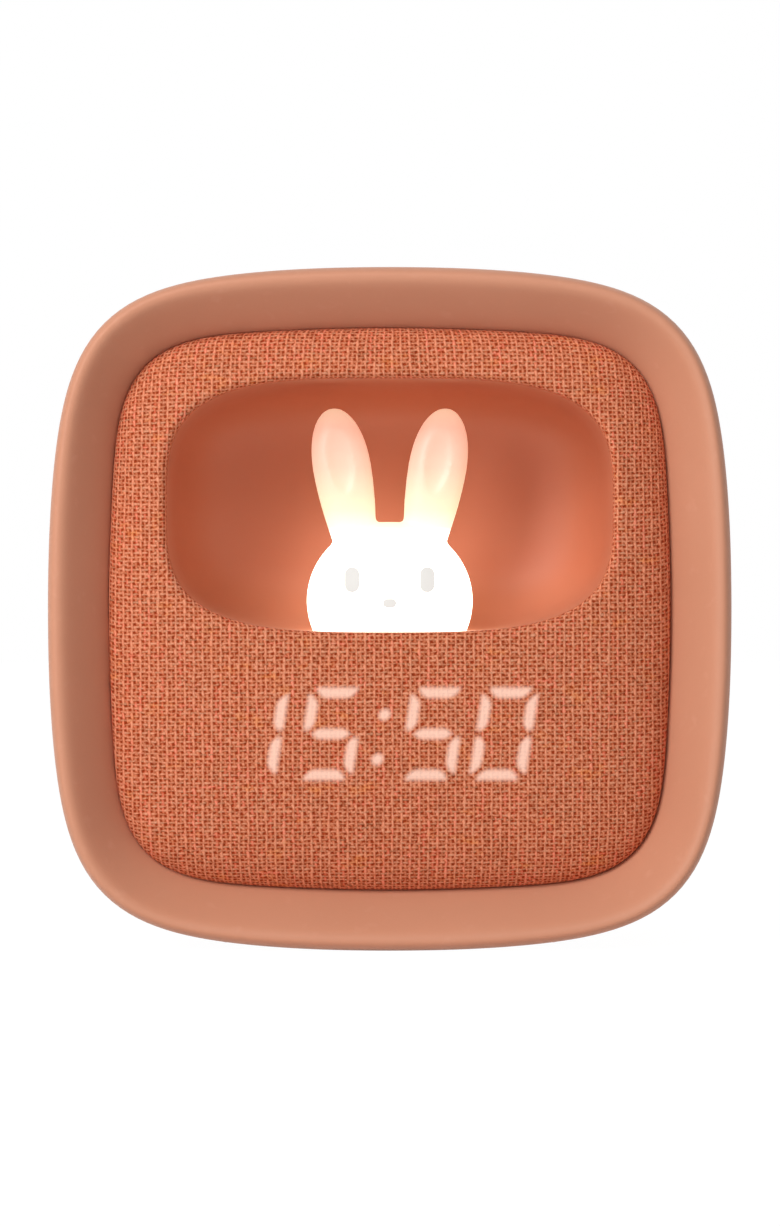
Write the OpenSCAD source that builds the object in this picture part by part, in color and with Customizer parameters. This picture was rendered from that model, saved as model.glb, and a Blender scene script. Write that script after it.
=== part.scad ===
// Bedside alarm clock with a night light: a soft silicone sleeve round a rigid housing, a
// cloth-covered front with a lit clock display behind it, and a glowing rabbit in a niche.
// Millimetres. +Z is up and the front looks along -Y. The origin is under the middle of the
// clock, on the surface that it stands on.

/* [Face] */
// Width across the front lip
face_w = 100; // [96:1:112]
// Height across the front lip
face_h = 100; // [96:1:112]
// Squareness of the outline: 2 is an ellipse, and more is squarer
corner_n = 3.85; // [3.5:0.05:4.4]
// How far the outline draws in beside its corners, as a share of its size
side_bow = 0.019; // [0:0.001:0.022]

/* [Sleeve] */
// Depth from the lip's crest to the back rim
body_depth = 62; // [60:1:76]
// How much the sides draw in towards the back
side_taper = 4; // [2:0.5:5]
// Size of the rounding round the back
back_round = 12; // [11:0.5:13]
// Thickness of the silicone
sleeve_wall = 2.4; // [2:0.1:2.8]
// Distance from the outline in to the lip's crest
lip_crest = 1.5; // [1.3:0.1:2]
// Depth of the lip's rounded outer edge
lip_edge = 3.4; // [2.6:0.1:4]
// Distance from the outline in to the cloth
lip_w = 8.5; // [8.2:0.1:9.6]
// How far the cloth's edge lies behind the lip's crest
recess = 8.6; // [7.6:0.1:9.6]
// Distance between the middles of the two moulded feet
foot_gap = 44; // [36:1:50]
// Width of a moulded foot
foot_w = 7; // [5:0.5:9]
// Length of a moulded foot
foot_l = 28; // [20:1:32]

/* [Front panel] */
// How far the cloth bulges from its edge to its middle
crown = 6.8; // [5.6:0.1:7.2]
// Thickness of the cloth and its backing
cloth_t = 0.8; // [0.5:0.1:1]
// Thickness of the rigid panel under the cloth
panel_t = 2; // [1.6:0.1:2.4]

/* [Housing] */
// Thickness of the housing
housing_wall = 2; // [1.6:0.1:2.4]
// Thickness of the flange that carries the front panel
flange_t = 2; // [1.6:0.1:2.6]
// Thickness of the rear cover
cover_t = 2.6; // [2.2:0.1:3]
// How far the rear cover lies inside the back rim
cover_set = 1; // [0.8:0.1:1.6]

/* [Niche] */
// Distance from the side of the face in to the niche's mouth
niche_side = 17.15; // [16:0.05:20]
// Distance from the top of the face down to the niche's mouth
niche_top = 16.05; // [15.5:0.05:17]
// Height of the niche's floor over the bottom of the face
niche_floor = 46.55; // [46:0.05:47.5]
// Squareness of the niche's mouth
niche_n = 3.4; // [3:0.1:3.8]
// Depth of the bowl behind the panel
bowl_depth = 26.8; // [25:0.1:28]
// Thickness of the bowl
bowl_wall = 1.6; // [1.2:0.1:1.8]

/* [Rabbit] */
// Width of the head
head_w = 25; // [22:0.5:27]
// Front-to-back size of the head
head_d = 14; // [12:0.5:15]
// Height of the head's widest level over the niche's floor
head_rise = 4.7; // [4:0.1:5.4]
// Height of the dome over the head's widest level
dome_h = 11.9; // [11:0.1:12.4]
// Thickness of the translucent shell
shell_t = 1.4; // [1.2:0.1:1.6]
// Gap between the ear tips and the top of the niche's mouth
ear_gap = 3.8; // [3.2:0.1:6]
// Greatest width of an ear
ear_w = 8.8; // [7.6:0.1:9.4]
// Front-to-back size of an ear
ear_d = 5; // [4:0.1:6]
// Outward lean of an ear, in degrees
ear_lean = 10; // [7:0.5:12]
// Distance from the fabric's crown back to the middle of the rabbit
rabbit_set = 17; // [15.6:0.1:18]

/* [Display] */
// Height of a digit, between the middles of its top and bottom bars
digit_h = 12.1; // [11:0.1:12.6]
// Width of a digit, between the middles of its side bars
digit_w = 6.9; // [6:0.1:7.4]
// Thickness of a bar
bar_t = 1.5; // [1.2:0.1:1.7]
// Distance between the two digits of a pair
digit_pitch = 10.6; // [10:0.1:11]
// Distance between the two digits beside the colon
colon_pitch = 15; // [14:0.1:16]
// Slant of the digits, in degrees
digit_slant = 9; // [6:0.5:11]
// Distance of the display's middle below the niche's floor
display_drop = 14.95; // [14.5:0.05:15.5]
// Distance of the display's middle to the left of the middle of the face
display_shift = 1.2; // [0:0.1:1.6]
// Width of the display module
module_w = 50; // [48:0.5:52]
// Height of the display module
module_h = 18; // [17:0.5:18.5]
// Depth of the display module
module_t = 6.6; // [6:0.1:7.4]

/* [Keys] */
// Diameter of a key
key_d = 8; // [7:0.1:8.6]
// Distance from the rear cover's edge in to the middle of the last key
key_side = 9.15; // [8.8:0.05:10]
// Height of the key row over the middle of the face
key_rise = 10; // [9:0.5:11]
// How far a key stands out of the cover
key_proud = 0.8; // [0.6:0.1:1]
// Travel of a key
key_travel = 0.5; // [0.3:0.05:0.6]
// Travel of the alarm slide
slide_travel = 3; // [2:0.5:3.5]

/* [Speaker, battery and boards] */
// Diameter of the speaker
speaker_d = 23; // [20:0.5:23.5]
// Depth of the speaker
speaker_t = 4.6; // [4:0.1:4.8]
// Diameter of a hole in the speaker grille
grille_hole_d = 1.5; // [1.2:0.1:1.8]
// Width of the battery cell
cell_w = 48; // [44:1:50]
// Length of the battery cell, front to back
cell_l = 28; // [24:1:30]
// Thickness of the battery cell
cell_t = 6; // [5:0.5:6.5]
// Thickness of the main board
board_t = 1.6; // [1.2:0.1:1.6]
// Width of the main board
board_w = 58; // [57:0.5:60]
// Height of the main board
board_h = 48; // [47:0.5:49]

/* [Hidden] */
$fn = 48;
ring_count = 60;
fit = 0.15;          // gap between pieces that are pushed together
skim = 0.05;         // gap between pieces that touch
n_gain = 0.12;       // how much squarer the outline gets for each millimetre in to the cloth
pillow_p = 4;        // how late the cloth's crown falls away
bowl_m = 4.5;        // how late the bowl's walls turn in
eps = 0.01;

mid_z = face_h / 2;
front_y = -body_depth / 2;
back_y = body_depth / 2;
widest_y = front_y + lip_edge;
seat_y = front_y + recess;
crown_y = seat_y - crown;
flange_y = seat_y + 3.4;
rim_inset = side_taper + back_round + 0.7;
housing_inset = sleeve_wall + fit;
housing_back_y = back_y - sleeve_wall - fit;

cover_out_y = back_y - cover_set;
cover_in_y = cover_out_y - cover_t;
cover_inset = rim_inset + fit;
ledge_w = 2.4;
ledge_t = 2.2;

lip_wall = 1.8;
lip_end_y = flange_y - fit;
cavity_top_y = widest_y + 0.7;

niche_w = face_w - 2 * niche_side;
niche_h = face_h - niche_top - niche_floor;
floor_z = niche_floor;
niche_z = floor_z + niche_h / 2;
niche_rise = niche_z - mid_z;
bowl_flange_w = 3.6;
bowl_flange_t = 1.4;
rabbit_y = crown_y + rabbit_set;
head_z = floor_z + head_rise;
neck_share = sqrt(1 - pow(head_rise / dome_h, 2));
neck_rx = head_w / 2 * neck_share;
neck_ry = head_d / 2 * neck_share;

display_z = floor_z - display_drop;
display_x = -display_shift;
film_t = 0.3;
film_y = 0.2 + pillow_y(display_x - module_w / 2, display_z - mid_z - module_h / 2, lip_w + cloth_t,
    crown_y + cloth_t);
module_y = film_y + film_t;
display_board_t = 1.2;
display_board_y = module_y + module_t;
display_screw_x = module_w / 2 + 3.2;
display_board_w = 2 * display_screw_x + 5.6;
segment_d = module_t - 1.4;

key_z = mid_z + key_rise;
key_gap = 0.2;
key_pitch = (face_w / 2 - cover_inset - key_side) / 2;
key_flange_t = 1;
key_flange_r = key_d / 2 + 0.7;
key_stem_t = 1.1;
plunger_r = 1.75;
plunger_out = 0.8;
switch_w = 6;
switch_t = 3.5;
key_flange_y = cover_in_y - 0.1;
plunger_top_y = key_flange_y - key_flange_t - key_stem_t;
switch_top_y = plunger_top_y - plunger_out;
plunger_in_y = switch_top_y - 0.8;
board_back_y = switch_top_y - switch_t;
board_front_y = board_back_y - board_t;
board_z0 = mid_z - 28;
key_names = ["time", "alarm", "minus", "plus", "light"];
function key_x(name) = (search([name], key_names)[0] - 2) * key_pitch;

label_z = key_z + 12;
label_w = 30;
label_h = 9;
slide_x = 12;
slide_knob_w = 3;
slide_knob_h = 2.4;
usb_x = 12;
usb_z = mid_z - 21;
usb_w = 8.94;
usb_h = 3.26;
usb_wall = 0.3;

boss_r = 3.3;
boss_l = 11;
cover_screw_in = 7.65;
cover_screw_x = face_w / 2 - cover_inset - cover_screw_in;
cover_screw_z = face_h / 2 - cover_inset - cover_screw_in;
cover_screws_at = [for (x = [-1, 1], z = [-1, 1]) [x * cover_screw_x, mid_z + z * cover_screw_z]];

speaker_x = 13 - cover_screw_x;
speaker_z = mid_z - cover_screw_z + 11.5;
slide_z = speaker_z + 6;
speaker_wall = 1.2;
gasket_t = 0.8;
speaker_y = cover_in_y - gasket_t;

panel_screw_r = 2.5;
niche_corner = pow(2, -1 / niche_n);
panel_screw_top = [niche_w / 2 * niche_corner + 4.6, niche_z + niche_h / 2 * niche_corner + 2.7];
panel_screw_in = 18.5;
panel_screw_low = [face_w / 2 - panel_screw_in, panel_screw_in];
m2_r = 1;
m2_head_r = 1.9;
m2_head_t = 1.2;
m25_r = 1.25;
m25_head_r = 2.4;
m25_head_t = 1.2;

light_screw_gap = 7;
light_screw_x = neck_rx + light_screw_gap;
light_board_w = 2 * light_screw_x + 7;
light_board_d = 15;
light_board_t = 1.2;
light_screw_l = 2.2;
light_board_top = floor_z - light_screw_l - 1.1;
light_post_r = 2.3;
light_screw_y = rabbit_y + 4;

cell_gap = 0.4;
cell_y = flange_y + flange_t + cell_gap + cell_l / 2;
pad_t = 1;
cell_z = 12.4;
rail_t = 2;

// ---- Outlines and surfaces ----

function signed_pow(v, e) = sign(v) * pow(abs(v), e);

// A superellipse with half sizes a and b, counterclockwise from +X
function squircle(a, b, n, count = ring_count) = [
    for (i = [0 : count - 1])
        let (t = 360 * i / count)
            [a * signed_pow(cos(t), 2 / n), b * signed_pow(sin(t), 2 / n)]
];

function n_at(inset) = corner_n + n_gain * min(inset, lip_w);

// Share of a superellipse's size that the outline keeps in the direction u, v from the middle:
// all of it at the middle of a side and at a corner, and less between them
function drawn_in(u, v) =
    let (s = pow(2 * u * v / max(eps, u * u + v * v), 2))
        1 - side_bow * s * (1 - pow(s, 3));

function face_outline(inset) =
    let (a = face_w / 2 - inset, b = face_h / 2 - inset)
        [for (p = squircle(a, b, n_at(inset))) p * drawn_in(p[0] / a, p[1] / b)];

function niche_outline(grow) = squircle(niche_w / 2 + grow, niche_h / 2 + grow, niche_n);

// A ring of the face's outline, drawn in by inset, at depth y
function face_ring(inset, y) = [for (p = face_outline(inset)) [p[0], y, p[1] + mid_z]];

// Share of the way from the middle of the face to its outline at an inset, for a point x, z off it
function reach(x, z, inset) =
    let (u = abs(x) / (face_w / 2 - inset), v = abs(z) / (face_h / 2 - inset), n = n_at(inset))
        pow(pow(u, n) + pow(v, n), 1 / n) / drawn_in(u, v);

// Depth of the crowned front over a point x, z off the middle; top_y is its middle
function pillow_y(x, z, inset, top_y) =
    top_y + crown * (1 - sqrt(1 - min(1, pow(reach(x, z, inset), pillow_p))));

// How far the sleeve's outside draws in at a share s of the way to the back
function body_inset(s, wall, end_inset) =
    wall + side_taper * pow(s, 1.5) + (end_inset - wall - side_taper) * (1 - pow(1 - pow(s, 4), 1 / 4));

// Points [inset, y] down the body to end_y, closer together towards the back, from behind from_y
function body_side(wall, end_inset, end_y, steps, from_y = widest_y) = [
    for (i = [0 : steps])
        let (s = 1 - pow(1 - i / steps, 2), y = widest_y + (end_y - widest_y) * s)
            if (i == 0 ? from_y == widest_y : y > from_y + 0.5) [body_inset(s, wall, end_inset), y]
];

function reversed(list) = [for (i = [len(list) - 1 : -1 : 0]) list[i]];

function bezier(a, b, c, d, t) =
    pow(1 - t, 3) * a + 3 * t * pow(1 - t, 2) * b + 3 * t * t * (1 - t) * c + pow(t, 3) * d;

// A solid through rings of points. Rings run counterclockwise seen from the front, and go from
// front to back over the outside. A looped skin joins its last ring to its first.
module skin(rings, loop = false) {
    n = len(rings[0]);
    m = len(rings);
    spans = loop ? m - 1 : m - 2;
    sides = [
        for (j = [0 : spans], i = [0 : n - 1])
            let (
                a = j * n + i,
                b = j * n + (i + 1) % n,
                c = ((j + 1) % m) * n + (i + 1) % n,
                d = ((j + 1) % m) * n + i
            )
                each [[a, b, c], [a, c, d]]
    ];
    caps = loop ? [] : [[for (i = [n - 1 : -1 : 0]) i], [for (i = [0 : n - 1]) (m - 1) * n + i]];
    polyhedron(points = [for (r = rings) each r], faces = concat(sides, caps));
}

// ---- Building helpers ----

// Extrudes a flat shape, drawn as x and z, from y0 back to y1
module along_y(y0, y1) {
    translate([0, y1, 0]) rotate([90, 0, 0]) linear_extrude(height = y1 - y0) children();
}

module rod_y(x, z, y0, y1, r) {
    translate([x, y1, z]) rotate([90, 0, 0]) cylinder(h = y1 - y0, r = r);
}

module block(x0, x1, y0, y1, z0, z1) {
    translate([x0, y0, z0]) cube([x1 - x0, y1 - y0, z1 - z0]);
}

// A slot shape of overall width w and height h with round ends, about a point
module stadium(w, h) {
    long = max(w, h) - min(w, h);
    square([w > h ? long : w, w > h ? h : long], center = true);
    for (side = [-1, 1])
        translate(w > h ? [side * long / 2, 0] : [0, side * long / 2]) circle(d = min(w, h));
}

module rounded_rect(w, h, r) {
    square([w, h - 2 * r], center = true);
    square([w - 2 * r, h], center = true);
    for (x = [-1, 1], z = [-1, 1]) translate([x * (w / 2 - r), z * (h / 2 - r)]) circle(r = r);
}

// A cross-head screw with its head on z = 0 and its shank below
module screw(r, head_r, head_t, length) {
    difference() {
        union() {
            cylinder(h = head_t, r = head_r);
            translate([0, 0, -length]) cylinder(h = length + eps, r = r);
            translate([0, 0, -length - r]) cylinder(h = r + eps, r1 = 0.2, r2 = r);
        }
        for (turn = [0, 90]) rotate([0, 0, turn])
            translate([0, 0, head_t]) cube([head_r * 1.2, 0.5, 1.4], center = true);
    }
}

// A screw along Y whose head sits at head_y. It is driven from the back where side is 1, and from
// the front where side is -1.
module screw_y(x, z, head_y, side, r, head_r, head_t, length) {
    translate([x, head_y, z]) rotate([side * -90, 0, 0]) screw(r, head_r, head_t, length);
}

// A round wire or tube of radius r through points, with a ring of sides at each point
module tube(points, r, sides = 8) {
    last = len(points) - 1;
    rings = [
        for (i = [0 : last])
            let (
                d = points[min(i + 1, last)] - points[max(i - 1, 0)],
                t = d / norm(d),
                up = abs(t[0]) > 0.9 ? [0, 0, 1] : [1, 0, 0],
                u = cross(up, t) / norm(cross(up, t)),
                v = cross(t, u)
            )
                [
                    for (k = [0 : sides - 1])
                        let (a = 360 * k / sides)
                            points[i] + r * (cos(a) * u - sin(a) * v)
                ]
    ];
    skin(rings);
}

// Points along a smooth curve from a to d
function route(a, b, c, d, steps) = [for (i = [0 : steps]) bezier(a, b, c, d, i / steps)];

// ---- Sleeve ----

lip_slope_end = [lip_w - fit, seat_y + 0.2];
lip_outer = [
    for (a = [90 : -15 : 15]) [lip_crest * (1 - cos(a)), front_y + lip_edge * (1 - sin(a))]
];
lip_inner = [
    for (i = [10 : -1 : 1])
        bezier([lip_crest, front_y], [lip_crest + 1.2, front_y], [lip_crest + 2.1, front_y + 1.3],
            lip_slope_end, i / 10)
];
sleeve_profile = concat(
    lip_outer,
    body_side(0, side_taper + back_round, back_y, 12),
    [[rim_inset - 0.2, back_y - 0.2], [rim_inset, back_y - 0.8]],
    reversed(body_side(sleeve_wall, rim_inset, back_y - sleeve_wall, 10, cavity_top_y)),
    [
        [sleeve_wall, cavity_top_y],
        [lip_crest + lip_wall + 0.2, cavity_top_y],
        [lip_w - lip_wall, seat_y + 1.05],
        [lip_w - lip_wall, lip_end_y],
        [lip_slope_end[0], lip_end_y]
    ],
    lip_inner
);

// Height of the sleeve's underside at x and y
function underside_z(x, y) =
    let (
        inset = body_inset((y - widest_y) / (back_y - widest_y), 0, side_taper + back_round),
        n = n_at(inset),
        u = abs(x) / (face_w / 2 - inset),
        v = pow(1 - pow(u, n), 1 / n)
    )
        mid_z - (face_h / 2 - inset) * v * drawn_in(u, v);

// A moulded foot: level below, and let into the sleeve's wall above
module foot(x) {
    steps = 8;
    ends = [x - foot_w / 2, x + foot_w / 2];
    skin([
        for (i = [0 : steps])
            let (
                y = widest_y + 12 + foot_l * i / steps,
                draw = 0.6 * pow(abs(2 * i / steps - 1), 6)
            )
                [
                    [ends[0] + draw, y, 0],
                    [ends[1] - draw, y, 0],
                    [ends[1], y, underside_z(ends[1], y) + 1],
                    [ends[0], y, underside_z(ends[0], y) + 1]
                ]
    ]);
}

module silicone_sleeve() {
    color("#d39377") union() {
        skin([for (p = sleeve_profile) face_ring(p[0], p[1])], loop = true);
        for (side = [-1, 1]) foot(side * foot_gap / 2);
    }
}

// ---- Cloth and front panel ----

// A ring part of the way from the niche's mouth to the cloth's edge, on the crowned front
function front_ring(share, inset, grow, depth) =
    let (inner = niche_outline(grow), outer = face_outline(inset))
        [
            for (i = [0 : ring_count - 1])
                let (
                    x = inner[i][0] * (1 - share) + outer[i][0] * share,
                    z = (inner[i][1] + niche_rise) * (1 - share) + outer[i][1] * share
                )
                    [x, pillow_y(x, z, inset, crown_y + depth), z + mid_z]
        ];

// Depth of the panel's back over a point x, z off the middle
function panel_back_y(x, z) =
    pillow_y(x, z, lip_w + cloth_t + panel_t, crown_y + cloth_t + panel_t);

// A ring of the niche's outline at a depth behind the panel's back
function mouth_ring(grow, depth) = [
    for (p = niche_outline(grow)) [p[0], panel_back_y(p[0], p[1] + niche_rise) + depth, p[1] + niche_z]
];

front_shares = [for (i = [0 : 8]) 1 - pow(1 - i / 8, 2)];

module front_fabric() {
    inside = lip_w + cloth_t;
    rings = concat(
        [for (s = front_shares) front_ring(s, lip_w, 0, 0)],
        [face_ring(lip_w, flange_y - 1.4), face_ring(inside - skim, flange_y - 1.4)],
        [for (s = reversed(front_shares)) front_ring(s, inside - skim, cloth_t, cloth_t - skim)],
        [mouth_ring(cloth_t, 0), mouth_ring(0, 0)]
    );
    color("#c5704f") skin(rings, loop = true);
}

module front_panel() {
    edge = lip_w + cloth_t;
    mouth = cloth_t + skim;
    rings = concat(
        [for (s = front_shares) front_ring(s, edge, mouth, cloth_t)],
        [face_ring(edge, flange_y), face_ring(edge + panel_t, flange_y)],
        [for (s = reversed(front_shares)) front_ring(s, edge + panel_t, mouth, cloth_t + panel_t)]
    );
    color("#b9603f") difference() {
        union() {
            skin(rings, loop = true);
            panel_posts(panel_screw_r, false);
            for (side = [-1, 1])
                rod_y(display_x + side * display_screw_x, display_z, crown_y + cloth_t + panel_t / 2 + 1.2,
                    display_board_y, 2.2);
        }
        block(display_x - module_w / 2 - fit, display_x + module_w / 2 + fit, front_y, display_board_y,
            display_z - module_h / 2 - fit, display_z + module_h / 2 + fit);
        panel_posts(m2_r + skim, true);
        for (side = [-1, 1])
            rod_y(display_x + side * display_screw_x, display_z, display_board_y - 3, display_board_y + eps,
                m2_r + skim);
    }
}

// The four posts that the panel's screws run into, or the holes in them
module panel_posts(r, hole) {
    for (side = [-1, 1], place = [panel_screw_top, panel_screw_low]) {
        root = hole ? flange_y - 3.2 : panel_back_y(place[0], place[1] - mid_z) - panel_t / 2;
        rod_y(side * place[0], place[1], root, flange_y + (hole ? eps : 0), r);
    }
}

module panel_screws() {
    color("#b9bcc0") for (side = [-1, 1], place = [panel_screw_top, panel_screw_low])
        screw_y(side * place[0], place[1], flange_y + flange_t, 1, m2_r, m2_head_r, m2_head_t, flange_t + 2);
}

// ---- Niche and night light ----

// The bowl's rim follows the back of the panel, and its walls turn in towards its back
function bowl_ring(grow, share, y) = [
    for (p = squircle((niche_w / 2 + grow) * share, (niche_h / 2 + grow) * share, niche_n))
        [p[0], y, p[1] + niche_z]
];
bowl_y0 = crown_y + cloth_t + panel_t + crown / 2 + bowl_flange_t + 0.6;
bowl_shares = [0.12, 0.34, 0.54, 0.7, 0.82, 0.91, 0.965, 1];
function bowl_depth_at(share, depth) = bowl_y0 + depth * pow(1 - pow(share, bowl_m), 1 / bowl_m);

// Height of the niche's floor beside its middle
function bowl_floor_z(x) =
    niche_z - niche_h / 2 * pow(1 - pow(x / (niche_w / 2), niche_n), 1 / niche_n);

module niche_bowl() {
    rings = concat(
        [for (s = bowl_shares) bowl_ring(0, s, bowl_depth_at(s, bowl_depth))],
        [mouth_ring(0, skim), mouth_ring(bowl_flange_w, skim)],
        [mouth_ring(bowl_flange_w, bowl_flange_t), mouth_ring(bowl_wall, bowl_flange_t)],
        [for (s = reversed(bowl_shares)) bowl_ring(bowl_wall, s, bowl_depth_at(s, bowl_depth + bowl_wall))]
    );
    color("#cd6a47") difference() {
        union() {
            skin(rings);
            post_top = bowl_floor_z(light_screw_x - light_post_r) - bowl_wall / 2;
            for (side = [-1, 1]) translate([side * light_screw_x, light_screw_y, light_board_top])
                cylinder(h = post_top - light_board_top, r = light_post_r);
        }
        head(fit);
        for (side = [-1, 1])
            rod_y(side * panel_screw_top[0], panel_screw_top[1], front_y, flange_y, panel_screw_r + 0.3);
        for (side = [-1, 1]) translate([side * light_screw_x, light_screw_y, light_board_top - eps])
            cylinder(h = light_screw_l + 0.2, r = m2_r + skim);
    }
}

// A solid through level ellipses [rx, ry, z], lowest first
module skin_up(sections, count = 28) {
    rotate([90, 0, 0]) skin([
        for (s = sections)
            [for (i = [0 : count - 1]) [s[0] * cos(360 * i / count), s[2], s[1] * sin(360 * i / count)]]
    ]);
}

// Half sizes of the head's level section at height z over its widest level, grown by grow
function head_size(z, grow) =
    let (k = sqrt(max(0, 1 - pow(z / (dome_h + grow), 2))))
        [(head_w / 2 + grow) * k, (head_d / 2 + grow) * k, z];
head_levels = [-0.32, -0.16, 0, 0.2, 0.4, 0.58, 0.74, 0.87, 0.95, 0.99];

module head(grow) {
    neck = [neck_rx + grow, neck_ry + grow];
    translate([0, rabbit_y, head_z]) skin_up(concat(
        [[neck[0], neck[1], light_board_top - head_z], [neck[0], neck[1], -head_rise]],
        [for (l = head_levels) let (z = l * (dome_h + grow)) if (z > -head_rise + 0.3) head_size(z, grow)]
    ));
}

// An ear stands on its own leaning axis, narrow at its root and full towards its tip
ear_root = [head_w * 0.19, dome_h * 0.52];
ear_top = niche_h - ear_gap;
ear_l = (ear_top - head_rise - ear_root[1]) / cos(ear_lean) + 0.1;
function ear_half(u) =
    (0.62 + 0.38 * sin(90 * min(1, u / 0.62))) * sqrt(1 - pow(max(0, (u - 0.6) / 0.4), 2.2));
ear_shares = [0, 0.12, 0.25, 0.38, 0.5, 0.6, 0.7, 0.8, 0.88, 0.94, 0.98, 0.998];

module ear(side) {
    translate([side * ear_root[0], rabbit_y, head_z + ear_root[1]]) rotate([0, side * ear_lean, 0])
        difference() {
            skin_up([for (u = ear_shares) [ear_half(u) * ear_w / 2, ear_half(u) * ear_d / 2, u * ear_l]], 22);
            translate([0, -ear_d / 2, ear_l * 0.66]) rotate([-3, 0, 0]) skin_up([
                for (a = [-80 : 20 : 80]) [ear_w * 0.24 * cos(a), 0.8 * cos(a), ear_l * 0.24 * sin(a)]
            ], 16);
        }
}

eye_x = 5.6;
eye_z = 3.1;
eye_w = 2.2;
eye_h = 3.8;
nose_z = -0.4;
inlay_d = 0.7;

function head_front(x, z) = head_d / 2 * sqrt(1 - pow(2 * x / head_w, 2) - pow(z / dome_h, 2));

// The eyes and nose as prisms from in front of the head to the floors of their pockets
module face_prisms() {
    for (side = [-1, 1])
        along_y(rabbit_y - head_d, rabbit_y - head_front(eye_x, eye_z) + inlay_d)
            translate([side * eye_x, head_z + eye_z]) stadium(eye_w, eye_h);
    along_y(rabbit_y - head_d, rabbit_y - head_front(0, nose_z) + inlay_d)
        translate([0, head_z + nose_z]) stadium(2, 1.3);
}

module rabbit_diffuser() {
    color("#fff6e6") difference() {
        union() {
            head(0);
            for (side = [-1, 1]) ear(side);
            translate([0, rabbit_y, light_board_top])
                skin_up([for (z = [0, 0.8]) [neck_rx + 1.2, neck_ry + 1.2, z]]);
        }
        translate([0, 0, -eps]) head(-shell_t);
        face_prisms();
    }
}

module rabbit_face_inlays() {
    color("#b9b2ab") intersection() {
        face_prisms();
        head(0.08);
    }
}

module light_board() {
    top = light_board_top;
    color("#e9eeec") difference() {
        block(-light_board_w / 2, light_board_w / 2, light_screw_y + 3.4 - light_board_d, light_screw_y + 3.4,
            top - light_board_t, top);
        for (side = [-1, 1]) translate([side * light_screw_x, light_screw_y, top - light_board_t - 1])
            cylinder(h = light_board_t + 2, r = m2_r + 0.2);
    }
}

module light_leds() {
    color("#fff0c0") for (x = [-6 : 4 : 6])
        block(x - 1.4, x + 1.4, rabbit_y - 1.75, rabbit_y + 1.75, light_board_top, light_board_top + 0.8);
}

module light_board_screws() {
    color("#b9bcc0") for (side = [-1, 1])
        translate([side * light_screw_x, light_screw_y, light_board_top - light_board_t]) rotate([180, 0, 0])
            screw(m2_r, m2_head_r, m2_head_t, light_board_t + light_screw_l - m2_r);
}

// ---- Display ----

// Bars of a digit in the usual order: top, upper right, lower right, bottom, lower left, upper left, middle
bar_gap = 0.25;
function bar_across(z) =
    let (l = digit_w / 2 - bar_gap, t = bar_t / 2)
        [[-l, z], [-l + t, z - t], [l - t, z - t], [l, z], [l - t, z + t], [-l + t, z + t]];
function bar_up(x, z) =
    let (l = digit_h / 4 - bar_gap, t = bar_t / 2)
        [
            [x, z - l], [x + t, z - l + t], [x + t, z + l - t],
            [x, z + l], [x - t, z + l - t], [x - t, z - l + t]
        ];
bars = [
    bar_across(digit_h / 2), bar_up(digit_w / 2, digit_h / 4), bar_up(digit_w / 2, -digit_h / 4),
    bar_across(-digit_h / 2), bar_up(-digit_w / 2, -digit_h / 4), bar_up(-digit_w / 2, digit_h / 4),
    bar_across(0)
];
bars_of = [
    [0, 1, 2, 3, 4, 5], [1, 2], [0, 1, 3, 4, 6], [0, 1, 2, 3, 6], [1, 2, 5, 6],
    [0, 2, 3, 5, 6], [0, 2, 3, 4, 5, 6], [0, 1, 2], [0, 1, 2, 3, 4, 5, 6], [0, 1, 2, 3, 5, 6]
];
shown_digits = [1, 5, 5, 0];
digit_x = [-colon_pitch / 2 - digit_pitch, -colon_pitch / 2, colon_pitch / 2, colon_pitch / 2 + digit_pitch];

function slanted(points) = [for (p = points) [p[0] + p[1] * tan(digit_slant), p[1]]];

function is_lit(digit, bar) = len(search(bar, bars_of[shown_digits[digit]])) > 0;

module segment_prisms(lit) {
    along_y(module_y, module_y + segment_d) translate([display_x, display_z]) {
        for (digit = [0 : 3], bar = [0 : 6])
            if (is_lit(digit, bar) == lit) translate([digit_x[digit], 0]) polygon(slanted(bars[bar]));
        if (lit) for (side = [-1, 1])
            translate([side * digit_h / 4 * tan(digit_slant), side * digit_h / 4]) circle(r = bar_t / 2);
    }
}

module lit_segments() {
    color("#ffd9c6") segment_prisms(true);
}

module unlit_segments() {
    color("#f3ece6") segment_prisms(false);
}

// A chip stands behind the middle of each bar and dot
function bar_middle(bar) = (bars[bar][0] + bars[bar][3]) / 2;
led_places = concat(
    [
        for (digit = [0 : 3], bar = [0 : 6])
            [digit_x[digit] + slanted([bar_middle(bar)])[0][0], bar_middle(bar)[1]]
    ],
    [for (side = [-1, 1]) [side * digit_h / 4 * tan(digit_slant), side * digit_h / 4]]
);

module led_blocks(grow) {
    for (p = led_places)
        block(display_x + p[0] - 0.5 - grow, display_x + p[0] + 0.5 + grow, display_board_y - 0.5 - grow * 4,
            display_board_y + grow, display_z + p[1] - 0.5 - grow, display_z + p[1] + 0.5 + grow);
}

module display_leds() {
    color("#ffe9b0") led_blocks(0);
}

module display_housing() {
    color("#2b2b2d") difference() {
        block(display_x - module_w / 2, display_x + module_w / 2, module_y, display_board_y,
            display_z - module_h / 2, display_z + module_h / 2);
        segment_prisms(true);
        segment_prisms(false);
        led_blocks(0.1);
    }
}

module display_film() {
    color("#efe6df") block(display_x - module_w / 2 + 0.6, display_x + module_w / 2 - 0.6, film_y, module_y,
        display_z - module_h / 2 + 0.6, display_z + module_h / 2 - 0.6);
}

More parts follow.
